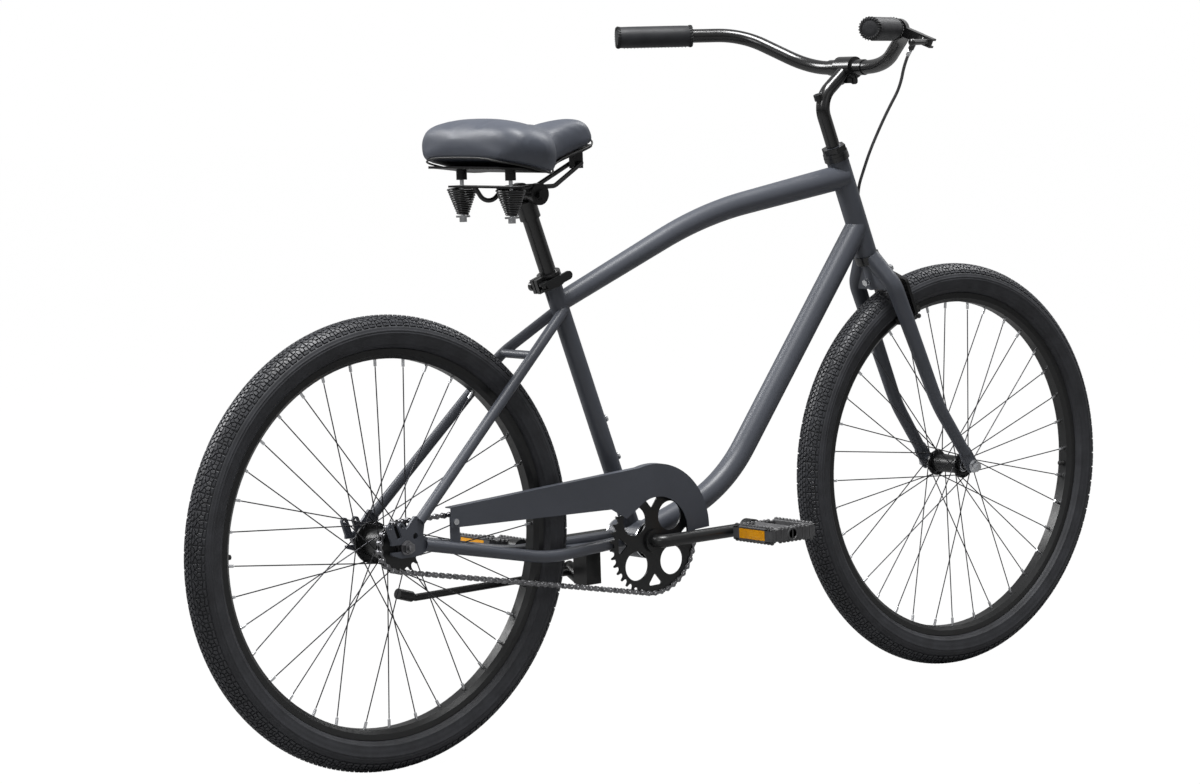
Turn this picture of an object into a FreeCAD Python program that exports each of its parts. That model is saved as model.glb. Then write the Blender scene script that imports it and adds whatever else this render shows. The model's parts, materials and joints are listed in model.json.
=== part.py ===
import FreeCAD, Part
import math
import os

# Beach cruiser bicycle, millimetres: +X forward, +Y to the rider's left, +Z up.
# The origin is on the ground, midway between the wheels.

# Wheels
wheelbase = 1155.0
rim_seat_radius = 279.5
tyre_height = 54.5
tyre_width = 54.0
tyre_wall = 3.5
bead_clearance = 0.3
rim_width = 30.0
rim_wall = 2.0
rim_flange_height = 6.0
rim_depth = 8.9
rim_ledge = 3.5
rim_well_width = 14.0
tube_clearance = 0.6
tube_wall = 1.2
valve_radius = 4.0
valve_reach = 27.0
valve_angle_front = -5.5
valve_angle_rear = 177.5
spoke_count = 36
spoke_radius = 0.9
spoke_elbow_offset = 3.4
spoke_rim_offset = 2.0
spoke_crossing = 60.0
nipple_radius = 2.2
nipple_length = 13.0
nipple_clearance = 0.5
hole_clearance = 0.3

# Hubs and axles
axle_radius = 4.75
front_hub_length = 100.0
front_flange_radius = 21.0
front_barrel_radius = 14.5
front_flange_spacing = 60.0
rear_hub_length = 110.0
rear_flange_radius = 31.0
rear_barrel_radius = 21.0
rear_flange_spacing = 52.0
flange_thickness = 3.0
flange_rim = 3.5
cone_radius = 8.5
ball_radius = 1.8
running_gap = 0.3
nut_radius = 9.0
nut_length = 8.0
washer_thickness = 1.6
axle_tail_right = 4.0
axle_tail_left = 8.0
reaction_arm_length = 150.0
reaction_arm_thickness = 3.5
reaction_arm_half_width = 8.0
reaction_disc_radius = 20.0
clip_gauge = 1.5

# Frame tubes
chainstay_length = 475.5
bottom_bracket_drop = 46.0
seat_tube_angle = 70.2
seat_tube_length = 437.0
seat_tube_radius = 14.3
head_angle = 69.5
fork_rake = 41.0
head_tube_bottom = 695.0
head_tube_length = 166.5
head_tube_radius = 18.0
head_tube_wall = 3.0
top_tube_rear_radius = 14.5
top_tube_front_radius = 20.0
top_tube_rear_height = 660.8
top_tube_front_height = 823.0
top_tube_corner_x = 53.4
top_tube_corner_height = 779.0
top_tube_bend = 750.0
down_tube_radius = 18.7
down_tube_height = 742.0
down_tube_corner_x = 77.0
down_tube_corner_height = 347.5
down_tube_bend = 250.0
tube_gauge = 1.6
shell_radius = 28.5
shell_wall = 3.2
shell_width = 68.0
chainstay_radius = 9.0
seatstay_radius = 8.0
stay_end_half_width = 58.0
dropout_thickness = 5.0
bridge_radius = 6.5
bridge_plate_half = 28.0
bridge_plate_gauge = 4.0
seat_slot_width = 2.5
seat_slot_depth = 34.0
boss_low_height = 412.3
boss_spacing = 64.0
boss_radius = 3.5
boss_head_radius = 5.5
boss_head_height = 3.0
chainstay_corner_reach = 205.8
chainstay_corner_side = 48.0
chainstay_corner_drop = 2.0
chainstay_front_side = 24.0
chainstay_rise = 4.0
stay_bend = 300.0
seatstay_top_height = 650.0
seatstay_corner_x = -319.0
seatstay_corner_side = 38.0
seatstay_corner_height = 590.0
seatstay_bend = 120.0
dropout_chainstay_reach = 32.5
dropout_seatstay_reach = 25.5
dropout_seatstay_rise = 35.0
dropout_front = 38.0
dropout_neck = 9.0
dropout_belly = 15.0
dropout_back = 26.0
dropout_window_radius = 4.5
eyelet_radius = 2.5
eyelet_spacing = 20.0
eyelet_back = 27.0
eyelet_rise = 31.0
eyelet_ear = 5.5
eyelet_lean = 8.0
eyelet_drop = 24.0
fit_clearance = 0.05

# Headset, fork, stem and bar
cup_radius = 20.5
cup_height = 8.0
cup_insert = 11.0
cup_recess = 5.0
cup_recess_radius = 17.6
cup_bore_gap = 0.9
headset_ball_radius = 1.75
bracket_cup_bore = 18.0
bracket_cup_flange = 3.0
bracket_cup_insert = 12.0
bracket_ball_radius = 2.9
bracket_cone_gap = 0.4
bracket_lock_height = 5.0
race_height = 5.0
lock_nut_height = 9.0
steerer_radius = 12.7
quill_radius = 11.1
quill_insert = 70.0
fork_leg_top_radius = 14.0
fork_leg_tip_radius = 9.5
fork_crown_height = 690.0
fork_crown_side = 11.0
fork_shoulder_height = 645.0
fork_shoulder_side = 44.0
fork_shoulder_bend = 45.0
fork_knee_x_reach = 72.5
fork_knee_height = 440.0
fork_knee_side = 50.0
fork_knee_bend = 250.0
fork_leg_end_back = 15.5
fork_leg_end_rise = 23.0
fork_tip_thickness = 5.0
fork_tip_radius = 12.0
fork_tip_slot = 22.0
crown_top_height = 672.0
crown_bottom_height = 640.0
crown_half_thickness = 9.0
crown_half_width = 34.0
stem_kink_height = 947.0
stem_bend = 40.0
bar_forward = 368.5
bar_height = 997.0
bar_radius = 11.1
bar_centre_radius = 12.7
bar_wall = 1.6
bar_sleeve_half = 40.0
bar_bend_low = 138.0
bar_bend_high = 112.0
bar_low_side = 85.0
bar_rise_back = 53.5
bar_rise_side = 195.0
bar_rise = 58.0
bar_end_back = 229.5
bar_end_side = 298.0
bar_end_rise = 60.0
stem_bore = 4.3
stem_bolt_radius = 4.0
stem_bolt_head = 7.0
stem_bolt_head_rise = 10.0
stem_lug_width = 22.0
stem_lug_depth = 25.0
stem_slit = 2.0
clamp_bolt_radius = 3.0
wedge_length = 22.0
stem_clamp_radius = 17.5
stem_clamp_width = 36.0
grip_radius = 17.5
grip_length = 121.0
grip_end = 4.0

# Brake
perch_distance = 150.0
perch_width = 17.0
perch_radius = 16.0
perch_back = 14.0
perch_front = 11.0
perch_root = 38.0
perch_half_thickness = 7.4
lever_tilt = 24.0
lever_pivot_along = 4.0
lever_pivot_offset = 52.0
lever_pin_radius = 2.5
lever_boss_radius = 8.0
lever_half_thickness = 4.0
lever_blade_radius = 4.5
lever_tip_radius = 5.5
lever_tip_rise = 2.0
lever_length = 95.0
barrel_radius = 4.5
barrel_along = -9.0
barrel_offset = 30.0
barrel_length = 24.0
cable_radius = 2.5
wire_radius = 0.8
cable_lead = 25.0
caliper_height = 655.0
caliper_forward = 26.0
caliper_thickness = 5.5
caliper_gap = 0.5
caliper_drop = 79.0
caliper_half_width = 38.5
caliper_shoulder_drop = 18.0
caliper_knee_drop = 60.0
caliper_bar_radius = 6.0
caliper_bolt_radius = 3.0
caliper_nut_radius = 6.0
caliper_nut_height = 5.0
caliper_bolt_back = 16.0
cable_stop_side = 30.0
cable_stop_low = 20.0
cable_stop_high = 34.0
cable_stop_radius = 5.5
cable_stop_gap = 1.2
cable_stop_bore = 2.6
anchor_rise = 2.0
anchor_radius = 4.0
pad_stud_radius = 2.0
pad_nut_height = 4.0
pad_gap = 2.0
pad_thickness = 9.0
pad_length = 50.0
pad_height = 9.5

# Drive
chain_pitch = 12.7
ring_teeth = 40
sprocket_teeth = 18
roller_radius = 3.9
chain_line = 43.5
tooth_thickness = 2.8
tooth_height = 3.4
link_plate = 1.0
link_half_height = 4.2
link_inner_half = 1.7
link_side_gap = 0.15
link_pin_radius = 1.8
link_pin_clearance = 0.08
link_pin_end = 0.4
tooth_seat_gap = 0.35
tooth_seat_angle = 75.0
tooth_tip_share = 0.09
ring_window_half = 15.0
ring_window_corner = 3.0
sprocket_boss_radius = 17.0
ring_hole_radius = 22.5
ring_hole_circle = 49.0
ring_window_inner = 50.0
ring_window_outer = 69.0
crank_length = 165.0
crank_angle = 1.5
crank_bar_radius = 9.8
crank_knee = 63.0
crank_eye = 82.0
crank_bend = 14.0
crank_eye_radius = 14.5
crank_eye_width = 20.0
pedal_spindle_radius = 6.0
pedal_width = 88.0
pedal_length = 92.0
pedal_height = 28.0
pedal_gap = 2.0
pedal_wall = 9.0
pedal_rail = 12.0
pedal_barrel_radius = 11.5
pedal_cap = 4.0
left_pedal_pitch = 9.0
reflector_thickness = 4.0
reflector_width = 58.0
reflector_height = 15.0
guard_face = 58.0
guard_gauge = 1.5
guard_flange = 14.0
guard_arc = 108.0
guard_arc_back = 5.8
guard_arc_rise = 12.0
guard_mouth = 60.0
guard_mouth_rise = 9.0
guard_rear_reach = 82.5
guard_rear_top = 49.0
guard_rear_bottom = 19.0
guard_join_back = 33.0
guard_notch_back = 61.0
guard_notch_rise = 42.0
guard_heel_back = 90.0
guard_heel_rise = 59.0
guard_tab_width = 16.0
guard_tab_gauge = 3.0
guard_tab_height = 37.0
guard_strap_drop = 8.0
screw_radius = 2.5
screw_head_radius = 4.5
screw_head_height = 2.5

# Seat
post_radius = 12.7
post_wall = 2.0
post_insert = 150.0
post_top_height = 815.0
collar_below = 12.0
collar_above = 10.0
collar_wall = 4.0
collar_gap = 2.5
ear_depth = 12.0
ear_width = 7.0
skewer_radius = 2.6
skewer_rise = -2.0
skewer_back = 7.0
cam_radius = 7.5
cam_eye_radius = 4.0
cam_pin_radius = 2.6
cam_height = 13.0
cam_eye_height = 5.0
cam_lever_length = 44.0
cam_lever_thickness = 4.5
saddle_bolt_x = -287.0
saddle_bolt_height = 828.0
saddle_bolt_radius = 4.0
rail_radius = 3.5
rail_half_gauge = 22.0
rail_rise = 10.5
rail_front_x = -255.0
rail_rear_x = -318.0
rail_dip_x = -345.0
rail_dip_height = 810.0
rail_end_half_gauge = 29.0
rail_bend = 18.0
clamp_boss_radius = 13.0
clamp_boss_half = 16.0
clamp_collar_height = 28.0
clamp_collar_wall = 3.3
clamp_cap = 3.0
rail_disc_radius = 16.5
rail_disc_thickness = 11.5
rail_nut_height = 7.0
nose_bar_x = -195.0
nose_bar_height = 870.0
nose_bar_radius = 4.0
nose_bar_half = 13.0
nose_lug_rise = 26.0
nose_lug_half = 8.0
nose_lug_width = 7.0
spring_x = -366.0
spring_half_gauge = 60.0
spring_wire_radius = 1.5
spring_turns = 11
spring_bottom_radius = 7.5
spring_top_radius = 21.0
spring_foot_height = 799.0
spring_plate_thickness = 3.0
spring_plate_half = 11.0
spring_plate_half_width = 80.0
spring_height = 42.0
spring_bolt_radius = 3.0
spring_bolt_slot = 4.0
spring_seat_radius = 10.5
spring_seat_thickness = 2.5
spring_stem_radius = 8.0
spring_nut_radius = 6.0
spring_nut_height = 7.0
spring_stem_rise = 11.5
saddle_nose_x = -167.0
saddle_length = 246.0
saddle_half_width = 130.0
saddle_reference_length = 246.0
saddle_reference_half_width = 130.0
saddle_base_height = 872.0
saddle_thickness = 72.0
pan_thickness = 3.0
pan_share = 0.8
pan_gap = 0.6

# Kickstand
kickstand_pivot_x = -195.0
kickstand_pivot_side = 42.0
kickstand_pivot_height = 243.0
kickstand_length = 322.0
kickstand_radius = 5.5
kickstand_hub_radius = 11.5
kickstand_hub_half = 9.0
kickstand_pin_radius = 5.0
kickstand_foot_radius = 8.0
kickstand_foot_length = 34.0
kickstand_foot_rise = 12.0
kickstand_folded = (-0.9985, 0.05, -0.02)
kickstand_deployed = (0.42, 0.35, -0.84)
kickstand_block_length = 28.0
kickstand_block_right = 10.0
kickstand_block_left = 22.0
kickstand_block_bottom = 228.0

# Places worked out from the sizes above
wheel_radius = rim_seat_radius + tyre_height
V = FreeCAD.Vector
across = V(0, 1, 0)
upward = V(0, 0, 1)
front_axle_centre = V(wheelbase / 2, 0, wheel_radius)
rear_axle_centre = V(-wheelbase / 2, 0, wheel_radius)
crank_centre = V(
    -wheelbase / 2 + math.sqrt(chainstay_length ** 2 - bottom_bracket_drop ** 2),
    0,
    wheel_radius - bottom_bracket_drop,
)
seat_direction = V(-math.cos(math.radians(seat_tube_angle)), 0, math.sin(math.radians(seat_tube_angle)))
steer_direction = V(-math.cos(math.radians(head_angle)), 0, math.sin(math.radians(head_angle)))
steer_forward = V(steer_direction.z, 0, -steer_direction.x)
seat_front = V(seat_direction.z, 0, -seat_direction.x)
seat_tube_top = crank_centre + seat_direction * seat_tube_length
dropout_chainstay_x = rear_axle_centre.x + dropout_chainstay_reach
dropout_seatstay_x = rear_axle_centre.x + dropout_seatstay_reach
dropout_seatstay_height = wheel_radius + dropout_seatstay_rise
chainstay_corner_x = crank_centre.x - chainstay_corner_reach
chainstay_corner_height = crank_centre.z - chainstay_corner_drop
bridge_plate_height = crank_centre.z - bridge_plate_gauge


def steer_at(height):
    """The point of the steering axis at a height above the ground."""
    foot_x = front_axle_centre.x - fork_rake / steer_direction.z
    return V(foot_x + (height - wheel_radius) * steer_direction.x / steer_direction.z, 0, height)


def seat_at(height):
    """The point of the seat tube's axis at a height above the ground."""
    return crank_centre + seat_direction * ((height - crank_centre.z) / seat_direction.z)


head_bottom = steer_at(head_tube_bottom)
head_top = head_bottom + steer_direction * head_tube_length
steerer_top = head_top + steer_direction * (cup_height + race_height + lock_nut_height + running_gap)


# Shared shapes

def unit(vector):
    """The direction of a vector."""
    return V(vector).normalize()


def rod(start, end, radius):
    """A round bar between two points."""
    return Part.makeCylinder(radius, start.distanceToPoint(end), start, end - start)


def pipe(start, end, outer, inner):
    """A round tube between two points."""
    return rod(start, end, outer).cut(rod(start, end, inner))


def block(low, high):
    """A box between two opposite corners."""
    size = high - low
    return Part.makeBox(size.x, size.y, size.z, low)


def join(shapes):
    """One solid from several that overlap or touch."""
    return shapes[0].multiFuse(shapes[1:]).removeSplitter()


def route(points, bends):
    """Straight runs joined by tangent arcs, with one bend radius for each inner point."""
    edges = []
    start = points[0]
    for before, corner, after, bend in zip(points, points[1:], points[2:], bends):
        toward = unit(before - corner)
        away = unit(after - corner)
        half = toward.getAngle(away) / 2
        reach = bend / math.tan(half)
        middle = corner + unit(toward + away) * (bend / math.sin(half) - bend)
        edges.append(Part.LineSegment(start, corner + toward * reach).toShape())
        edges.append(Part.Arc(corner + toward * reach, middle, corner + away * reach).toShape())
        start = corner + away * reach
    edges.append(Part.LineSegment(start, points[-1]).toShape())
    return Part.Wire(edges)


def bent_rod(points, bends, radius):
    """A round bar along straight runs and bends."""
    section = Part.Wire(Part.makeCircle(radius, points[0], points[1] - points[0]))
    return route(points, bends).makePipeShell([section], True, False)


def bent_taper(points, bends, first_radius, last_radius):
    """A round bar along straight runs and bends, with its radius changing evenly."""
    sweep = Part.BRepOffsetAPI.MakePipeShell(route(points, bends))
    sweep.add(Part.Wire(Part.makeCircle(first_radius, points[0], points[1] - points[0])))
    sweep.add(Part.Wire(Part.makeCircle(last_radius, points[-1], points[-1] - points[-2])))
    sweep.build()
    sweep.makeSolid()
    return sweep.shape()


def bent_tube(points, bends, radius, wall):
    """A hollow tube along straight runs and bends."""
    return bent_rod(points, bends, radius).cut(bent_rod(points, bends, radius - wall))


def turned(corners, centre):
    """A ring turned about the Y axis through a centre: corners are (y, radius) pairs."""
    points = [centre + V(0, y, radius) for y, radius in corners]
    face = Part.Face(Part.makePolygon(points + points[:1]))
    return face.revolve(centre, across, 360)


def plate(outline, y, thickness):
    """A flat plate of an (x, z) outline, thick from y towards +Y."""
    points = [V(x, y, z) for x, z in outline]
    face = Part.Face(Part.makePolygon(points + points[:1]))
    return face.extrude(V(0, thickness, 0))


def capsule(first, last, radius, thickness):
    """A flat bar with round ends: thickness is a vector square to the bar."""
    along = unit(last - first) * first.distanceToPoint(last)
    side = unit(thickness.cross(along)) * radius
    points = [first - side, first + side, last + side, last - side]
    bar = Part.Face(Part.makePolygon(points + points[:1])).extrude(thickness)
    ends = [rod(point, point + thickness, radius) for point in (first, last)]
    return join([bar] + ends)


def hexagon(start, end, radius):
    """A six-sided bar between two points, such as a nut or a bolt's head."""
    axis = unit(end - start)
    side = axis.cross(across)
    if side.Length < 0.5:
        side = axis.cross(V(1, 0, 0))
    side = unit(side)
    other = axis.cross(side)
    points = []
    for corner in range(7):
        angle = math.radians(60 * corner)
        points.append(start + side * (radius * math.cos(angle)) + other * (radius * math.sin(angle)))
    return Part.Face(Part.makePolygon(points)).extrude(end - start)


def spun(shape, centre, angle):
    """A copy turned about the Y axis through a centre."""
    copy = shape.copy()
    copy.rotate(centre, across, angle)
    return copy


def save(name, shapes):
    """Write one node's solids to its own file."""
    solids = []
    for shape in shapes:
        solids.extend(shape.Solids)
    os.makedirs("parts", exist_ok=True)
    body = solids[0] if len(solids) == 1 else Part.makeCompound(solids)
    if not body.isValid():
        print("not valid:", name)
    body.exportStep("parts/" + name + ".step")
    print(name, len(solids), "solids", round(body.Volume), "mm3")


# Wheels

rim_outer_radius = rim_seat_radius + rim_flange_height
rim_inner_radius = rim_seat_radius - rim_depth
bead_half_width = rim_width / 2 - rim_wall - bead_clearance
tyre_radius = tyre_width / 2
tyre_centre_radius = wheel_radius - tyre_radius


def make_rim(centre, valve_angle):
    """A single-wall rim with a ledge for each bead, a centre well, and holes for nipples and valve."""
    edge = rim_width / 2
    inner = edge - rim_wall
    ledge = inner - rim_ledge
    well = rim_well_width / 2
    ledge_radius = rim_seat_radius - bead_clearance
    floor = rim_inner_radius + rim_wall
    half = [(edge, rim_outer_radius), (inner, rim_outer_radius), (inner, ledge_radius), (ledge, ledge_radius)]
    half.append((well, floor))
    under = [(edge, rim_inner_radius + rim_depth * 0.7), (well + rim_wall, rim_inner_radius)]
    left = half + [(-y, radius) for y, radius in reversed(half)]
    right = [(-y, radius) for y, radius in under] + list(reversed(under))
    rim = turned(left + right, centre)
    cuts = []
    for number in range(spoke_count):
        side = 1 if number % 2 == 0 else -1
        low = centre + V(0, side * spoke_rim_offset, rim_inner_radius - rim_depth)
        bore = rod(low, low + upward * (2 * rim_depth), nipple_radius + nipple_clearance)
        cuts.append(spun(bore, centre, 360.0 * number / spoke_count))
    bore = rod(centre, centre + upward * (rim_seat_radius + rim_depth), valve_radius + hole_clearance)
    cuts.append(spun(bore, centre, 90 - valve_angle))
    return rim.cut(cuts)


def make_tyre(centre):
    """A balloon tyre with two beads between the rim's flanges."""
    shoulder_radius = rim_outer_radius + bead_clearance
    shoulder = math.sqrt(tyre_radius ** 2 - (tyre_centre_radius - shoulder_radius) ** 2)
    cavity = tyre_radius - tyre_wall
    throat = bead_half_width - rim_ledge + bead_clearance
    throat_radius = tyre_centre_radius - math.sqrt(cavity ** 2 - throat ** 2)

    def at(y, radius):
        return centre + V(0, y, radius)

    corners = [at(shoulder, shoulder_radius), at(bead_half_width, shoulder_radius)]
    corners += [at(bead_half_width, rim_seat_radius), at(throat, rim_seat_radius), at(throat, throat_radius)]
    mirror_corners = [V(corner.x, -corner.y, corner.z) for corner in corners]
    edges = [Part.Arc(mirror_corners[0], at(0, wheel_radius), corners[0]).toShape()]
    edges += Part.makePolygon(corners).Edges
    edges.append(Part.Arc(corners[-1], at(0, tyre_centre_radius + cavity), mirror_corners[-1]).toShape())
    edges += Part.makePolygon(list(reversed(mirror_corners))).Edges
    return Part.Face(Part.Wire(edges)).revolve(centre, across, 360)


def make_inner_tube(centre, valve_angle):
    """A hollow air tube with its valve stem through the rim."""
    radius = tyre_radius - tyre_wall - tube_clearance
    ring = Part.makeTorus(tyre_centre_radius, radius, centre, across)
    hollow = Part.makeTorus(tyre_centre_radius, radius - tube_wall, centre, across)
    foot = centre + upward * (tyre_centre_radius - radius + tube_wall / 2)
    stem = rod(foot, foot - upward * (valve_reach + tube_wall), valve_radius)
    return join([ring.cut(hollow), spun(stem, centre, 90 - valve_angle)])


def make_spokes(centre, flange_radius, flange_spacing):
    """Crossed spokes, with an elbow through the flange, and a nipple on each at the rim."""
    shapes = []
    tip = rim_inner_radius + rim_wall
    for side in (1, -1):
        for lean in (1, -1):
            flange_y = side * flange_spacing / 2
            elbow = V(0, flange_y + lean * spoke_elbow_offset, flange_radius - flange_rim)
            elbow = spun(Part.Vertex(elbow), V(0, 0, 0), lean * spoke_crossing).Point
            rim_point = V(0, side * spoke_rim_offset, tip)
            end = elbow - V(0, lean * 2 * spoke_elbow_offset, 0)
            points = [centre + end, centre + elbow, centre + rim_point]
            spoke = bent_rod(points, [2 * spoke_radius], spoke_radius)
            along = unit(rim_point - elbow)
            inner = centre + rim_point - along * nipple_length
            nipple = pipe(inner, centre + rim_point, nipple_radius, spoke_radius + fit_clearance)
            first = (0 if side > 0 else 1) + (0 if lean > 0 else 2)
            for number in range(first, spoke_count, 4):
                angle = 360.0 * number / spoke_count
                shapes.append(spun(spoke, centre, angle))
                shapes.append(spun(nipple, centre, angle))
    return shapes


def make_hub(centre, flange_radius, flange_spacing, barrel_radius):
    """A hub shell with two drilled flanges and a bearing pocket at each end."""
    flange = flange_spacing / 2
    end = flange + 2 * flange_thickness
    bore = axle_radius + 3 * running_gap
    pocket = cone_radius + 2 * ball_radius + running_gap
    pocket_floor = end - 5 * ball_radius
    half_flange = flange_thickness / 2
    outer = [(flange - half_flange, barrel_radius), (flange - half_flange, flange_radius)]
    outer += [(flange + half_flange, flange_radius), (flange + half_flange, barrel_radius)]
    outer += [(end, barrel_radius), (end, pocket), (pocket_floor, pocket), (pocket_floor, bore)]
    outline = [(-y, radius) for y, radius in reversed(outer)] + outer
    hub = turned(outline, centre)
    holes = []
    for number in range(spoke_count):
        side = 1 if number % 2 == 0 else -1
        low = centre + V(0, side * (flange - flange_thickness), flange_radius - flange_rim)
        hole = rod(low, low + across * (2 * side * flange_thickness), spoke_radius + hole_clearance)
        holes.append(spun(hole, centre, 360.0 * number / spoke_count))
    return hub.cut(holes)


def make_axle(centre, hub_length, flange_spacing, tip_thickness, tail_left, tail_right):
    """A fixed axle with its cones, ball rings, lock nuts, washers and axle nuts."""
    end = flange_spacing / 2 + 2 * flange_thickness
    ball_y = end - 2.5 * ball_radius
    cone_inner = end - 5 * ball_radius + running_gap
    shapes = []
    for side, tail in ((1, tail_left), (-1, tail_right)):

        def at(distance):
            return centre + across * (side * distance)

        face = hub_length / 2
        outside = face + tip_thickness
        washer_end = outside + washer_thickness
        shaft = axle_radius + fit_clearance
        cone = turned([(side * cone_inner, cone_radius), (side * (face - race_height), cone_radius),
                       (side * (face - race_height), shaft), (side * cone_inner, shaft)], centre)
        shapes.append(cone)
        ball_ring = cone_radius + ball_radius
        shapes.append(Part.makeTorus(ball_ring, ball_radius - fit_clearance, at(ball_y), across))
        shapes.append(hexagon(at(face - race_height), at(face), nut_radius).cut(rod(at(0), at(face), shaft)))
        shapes.append(pipe(at(outside), at(washer_end), nut_radius + washer_thickness, shaft))
        nut = hexagon(at(washer_end), at(washer_end + nut_length), nut_radius)
        shapes.append(nut.cut(rod(at(0), at(washer_end + 2 * nut_length), shaft)))
        shapes.append(rod(at(0), at(washer_end + nut_length + tail), axle_radius))
    shaft_halves = [shapes[5], shapes[11]]
    others = shapes[:5] + shapes[6:11]
    return [join(shaft_halves)] + others


# Frame

def make_head_tube():
    """The head tube, bored for the headset cups."""
    return pipe(head_bottom, head_top, head_tube_radius, head_tube_radius - head_tube_wall)


def head_solid():
    """The head tube's outside, for mitring the tubes that meet it."""
    return rod(head_bottom, head_top, head_tube_radius)


def seat_solid():
    """The seat tube's outside, for mitring the tubes that meet it."""
    return rod(crank_centre, seat_tube_top, seat_tube_radius)


def shell_solid():
    """The bottom bracket shell's outside."""
    half = across * (shell_width / 2)
    return rod(crank_centre - half, crank_centre + half, shell_radius)


def make_top_tube():
    """The curved top tube, fatter at the head tube."""
    rear = seat_at(top_tube_rear_height)
    front = steer_at(top_tube_front_height)
    points = [rear, V(top_tube_corner_x, 0, top_tube_corner_height), front]
    outside = bent_taper(points, [top_tube_bend], top_tube_rear_radius, top_tube_front_radius)
    inside_radii = (top_tube_rear_radius - tube_gauge, top_tube_front_radius - tube_gauge)
    inside = bent_taper(points, [top_tube_bend], inside_radii[0], inside_radii[1])
    return outside.cut([inside, head_solid(), seat_solid()])


def make_down_tube():
    """The down tube, curved low down towards the bottom bracket."""
    points = [steer_at(down_tube_height), V(down_tube_corner_x, 0, down_tube_corner_height), crank_centre]
    outside = bent_rod(points, [down_tube_bend], down_tube_radius)
    inside = bent_rod(points, [down_tube_bend], down_tube_radius - tube_gauge)
    return outside.cut([inside, head_solid(), shell_solid()])


def make_seat_tube():
    """The seat tube, bored for the seat post and slotted behind for the clamp."""
    bore = rod(crank_centre, seat_tube_top + seat_direction, post_radius + fit_clearance)
    slot_low = seat_tube_top - V(2 * seat_tube_radius, seat_slot_width / 2, seat_slot_depth)
    slot = block(slot_low, slot_low + V(2 * seat_tube_radius, seat_slot_width, 2 * seat_slot_depth))
    holes = []
    for start in boss_points():
        holes.append(rod(start, start + seat_front * (2 * seat_tube_radius), boss_radius + fit_clearance))
    return seat_solid().cut([bore, shell_solid(), slot] + holes)


def boss_points():
    """The bottle bosses' places on the seat tube's axis."""
    low = seat_at(boss_low_height)
    return [low, low + seat_direction * boss_spacing]


def make_shell():
    """The bottom bracket shell, bored for its cups."""
    half = across * (shell_width / 2)
    return pipe(crank_centre - half, crank_centre + half, shell_radius, shell_radius - shell_wall)


def chainstay_route(side):
    """The left chainstay's line, or the right one's with side -1."""
    points = [V(dropout_chainstay_x, side * stay_end_half_width, wheel_radius)]
    points.append(V(chainstay_corner_x, side * chainstay_corner_side, chainstay_corner_height))
    front_x = crank_centre.x - shell_radius / 2
    points.append(V(front_x, side * chainstay_front_side, crank_centre.z + chainstay_rise))
    return points


def make_chainstay(side):
    """One chainstay, slotted over its dropout and mitred to the bottom bracket shell."""
    stay = bent_tube(chainstay_route(side), [stay_bend], chainstay_radius, tube_gauge)
    half = across * (shell_width / 2 + bracket_cup_flange + running_gap)
    shell = rod(crank_centre - half, crank_centre + half, shell_radius)
    return stay.cut([shell, make_dropout(side)])


def seatstay_route(side):
    """One seatstay's line from the seat tube down to the dropout."""
    top = seat_at(seatstay_top_height)
    points = [top + V(0, side * seatstay_radius, 0)]
    points.append(V(seatstay_corner_x, side * seatstay_corner_side, seatstay_corner_height))
    points.append(V(dropout_seatstay_x, side * stay_end_half_width, dropout_seatstay_height))
    return points


def make_seatstay(side):
    """One seatstay, mitred to the seat tube and slotted over its dropout."""
    stay = bent_tube(seatstay_route(side), [seatstay_bend], seatstay_radius, tube_gauge)
    return stay.cut([seat_solid(), make_dropout(side)])


def make_dropout(side):
    """One slim dropout with a rearward slot, a lightening hole and two threaded eyelets on ears."""
    face = rear_hub_length / 2 if side > 0 else -rear_hub_length / 2 - dropout_thickness
    centre = V(rear_axle_centre.x, face, wheel_radius)
    neck = dropout_neck
    belly = dropout_belly
    corners = [(dropout_front, neck), (dropout_front, -neck), (belly, -belly), (-neck, -belly)]
    corners += [(-dropout_back, -neck), (-dropout_back, neck), (-neck, belly), (neck / 2, 2 * belly)]
    corners += [(dropout_seatstay_reach - neck, dropout_seatstay_rise + neck)]
    corners += [(dropout_seatstay_reach + neck, dropout_seatstay_rise + neck / 2)]
    corners += [(dropout_seatstay_reach + neck / 2, belly)]
    outline = [(centre.x + along, centre.z + rise) for along, rise in corners]
    body = plate(outline, centre.y, dropout_thickness)
    through = V(0, dropout_thickness, 0)
    ears = []
    cuts = [capsule(centre, centre - V(2 * dropout_back, 0, 0), axle_radius + hole_clearance, through)]
    window = centre + V(dropout_seatstay_reach - neck, 0, belly)
    cuts.append(rod(window, window + through, dropout_window_radius))
    for point in eyelet_points():
        start = V(point.x, centre.y, point.z)
        ears.append(capsule(start, start + V(eyelet_lean, 0, -eyelet_drop), eyelet_ear, through))
        cuts.append(rod(start, start + through, eyelet_radius))
    return join([body] + ears).cut(cuts)


def eyelet_points():
    """The two eyelets' centres in the plane of the wheel."""
    high = wheel_radius + eyelet_rise
    back = rear_axle_centre.x - eyelet_back
    return [V(back, 0, high), V(back + eyelet_spacing, 0, high)]


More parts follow.
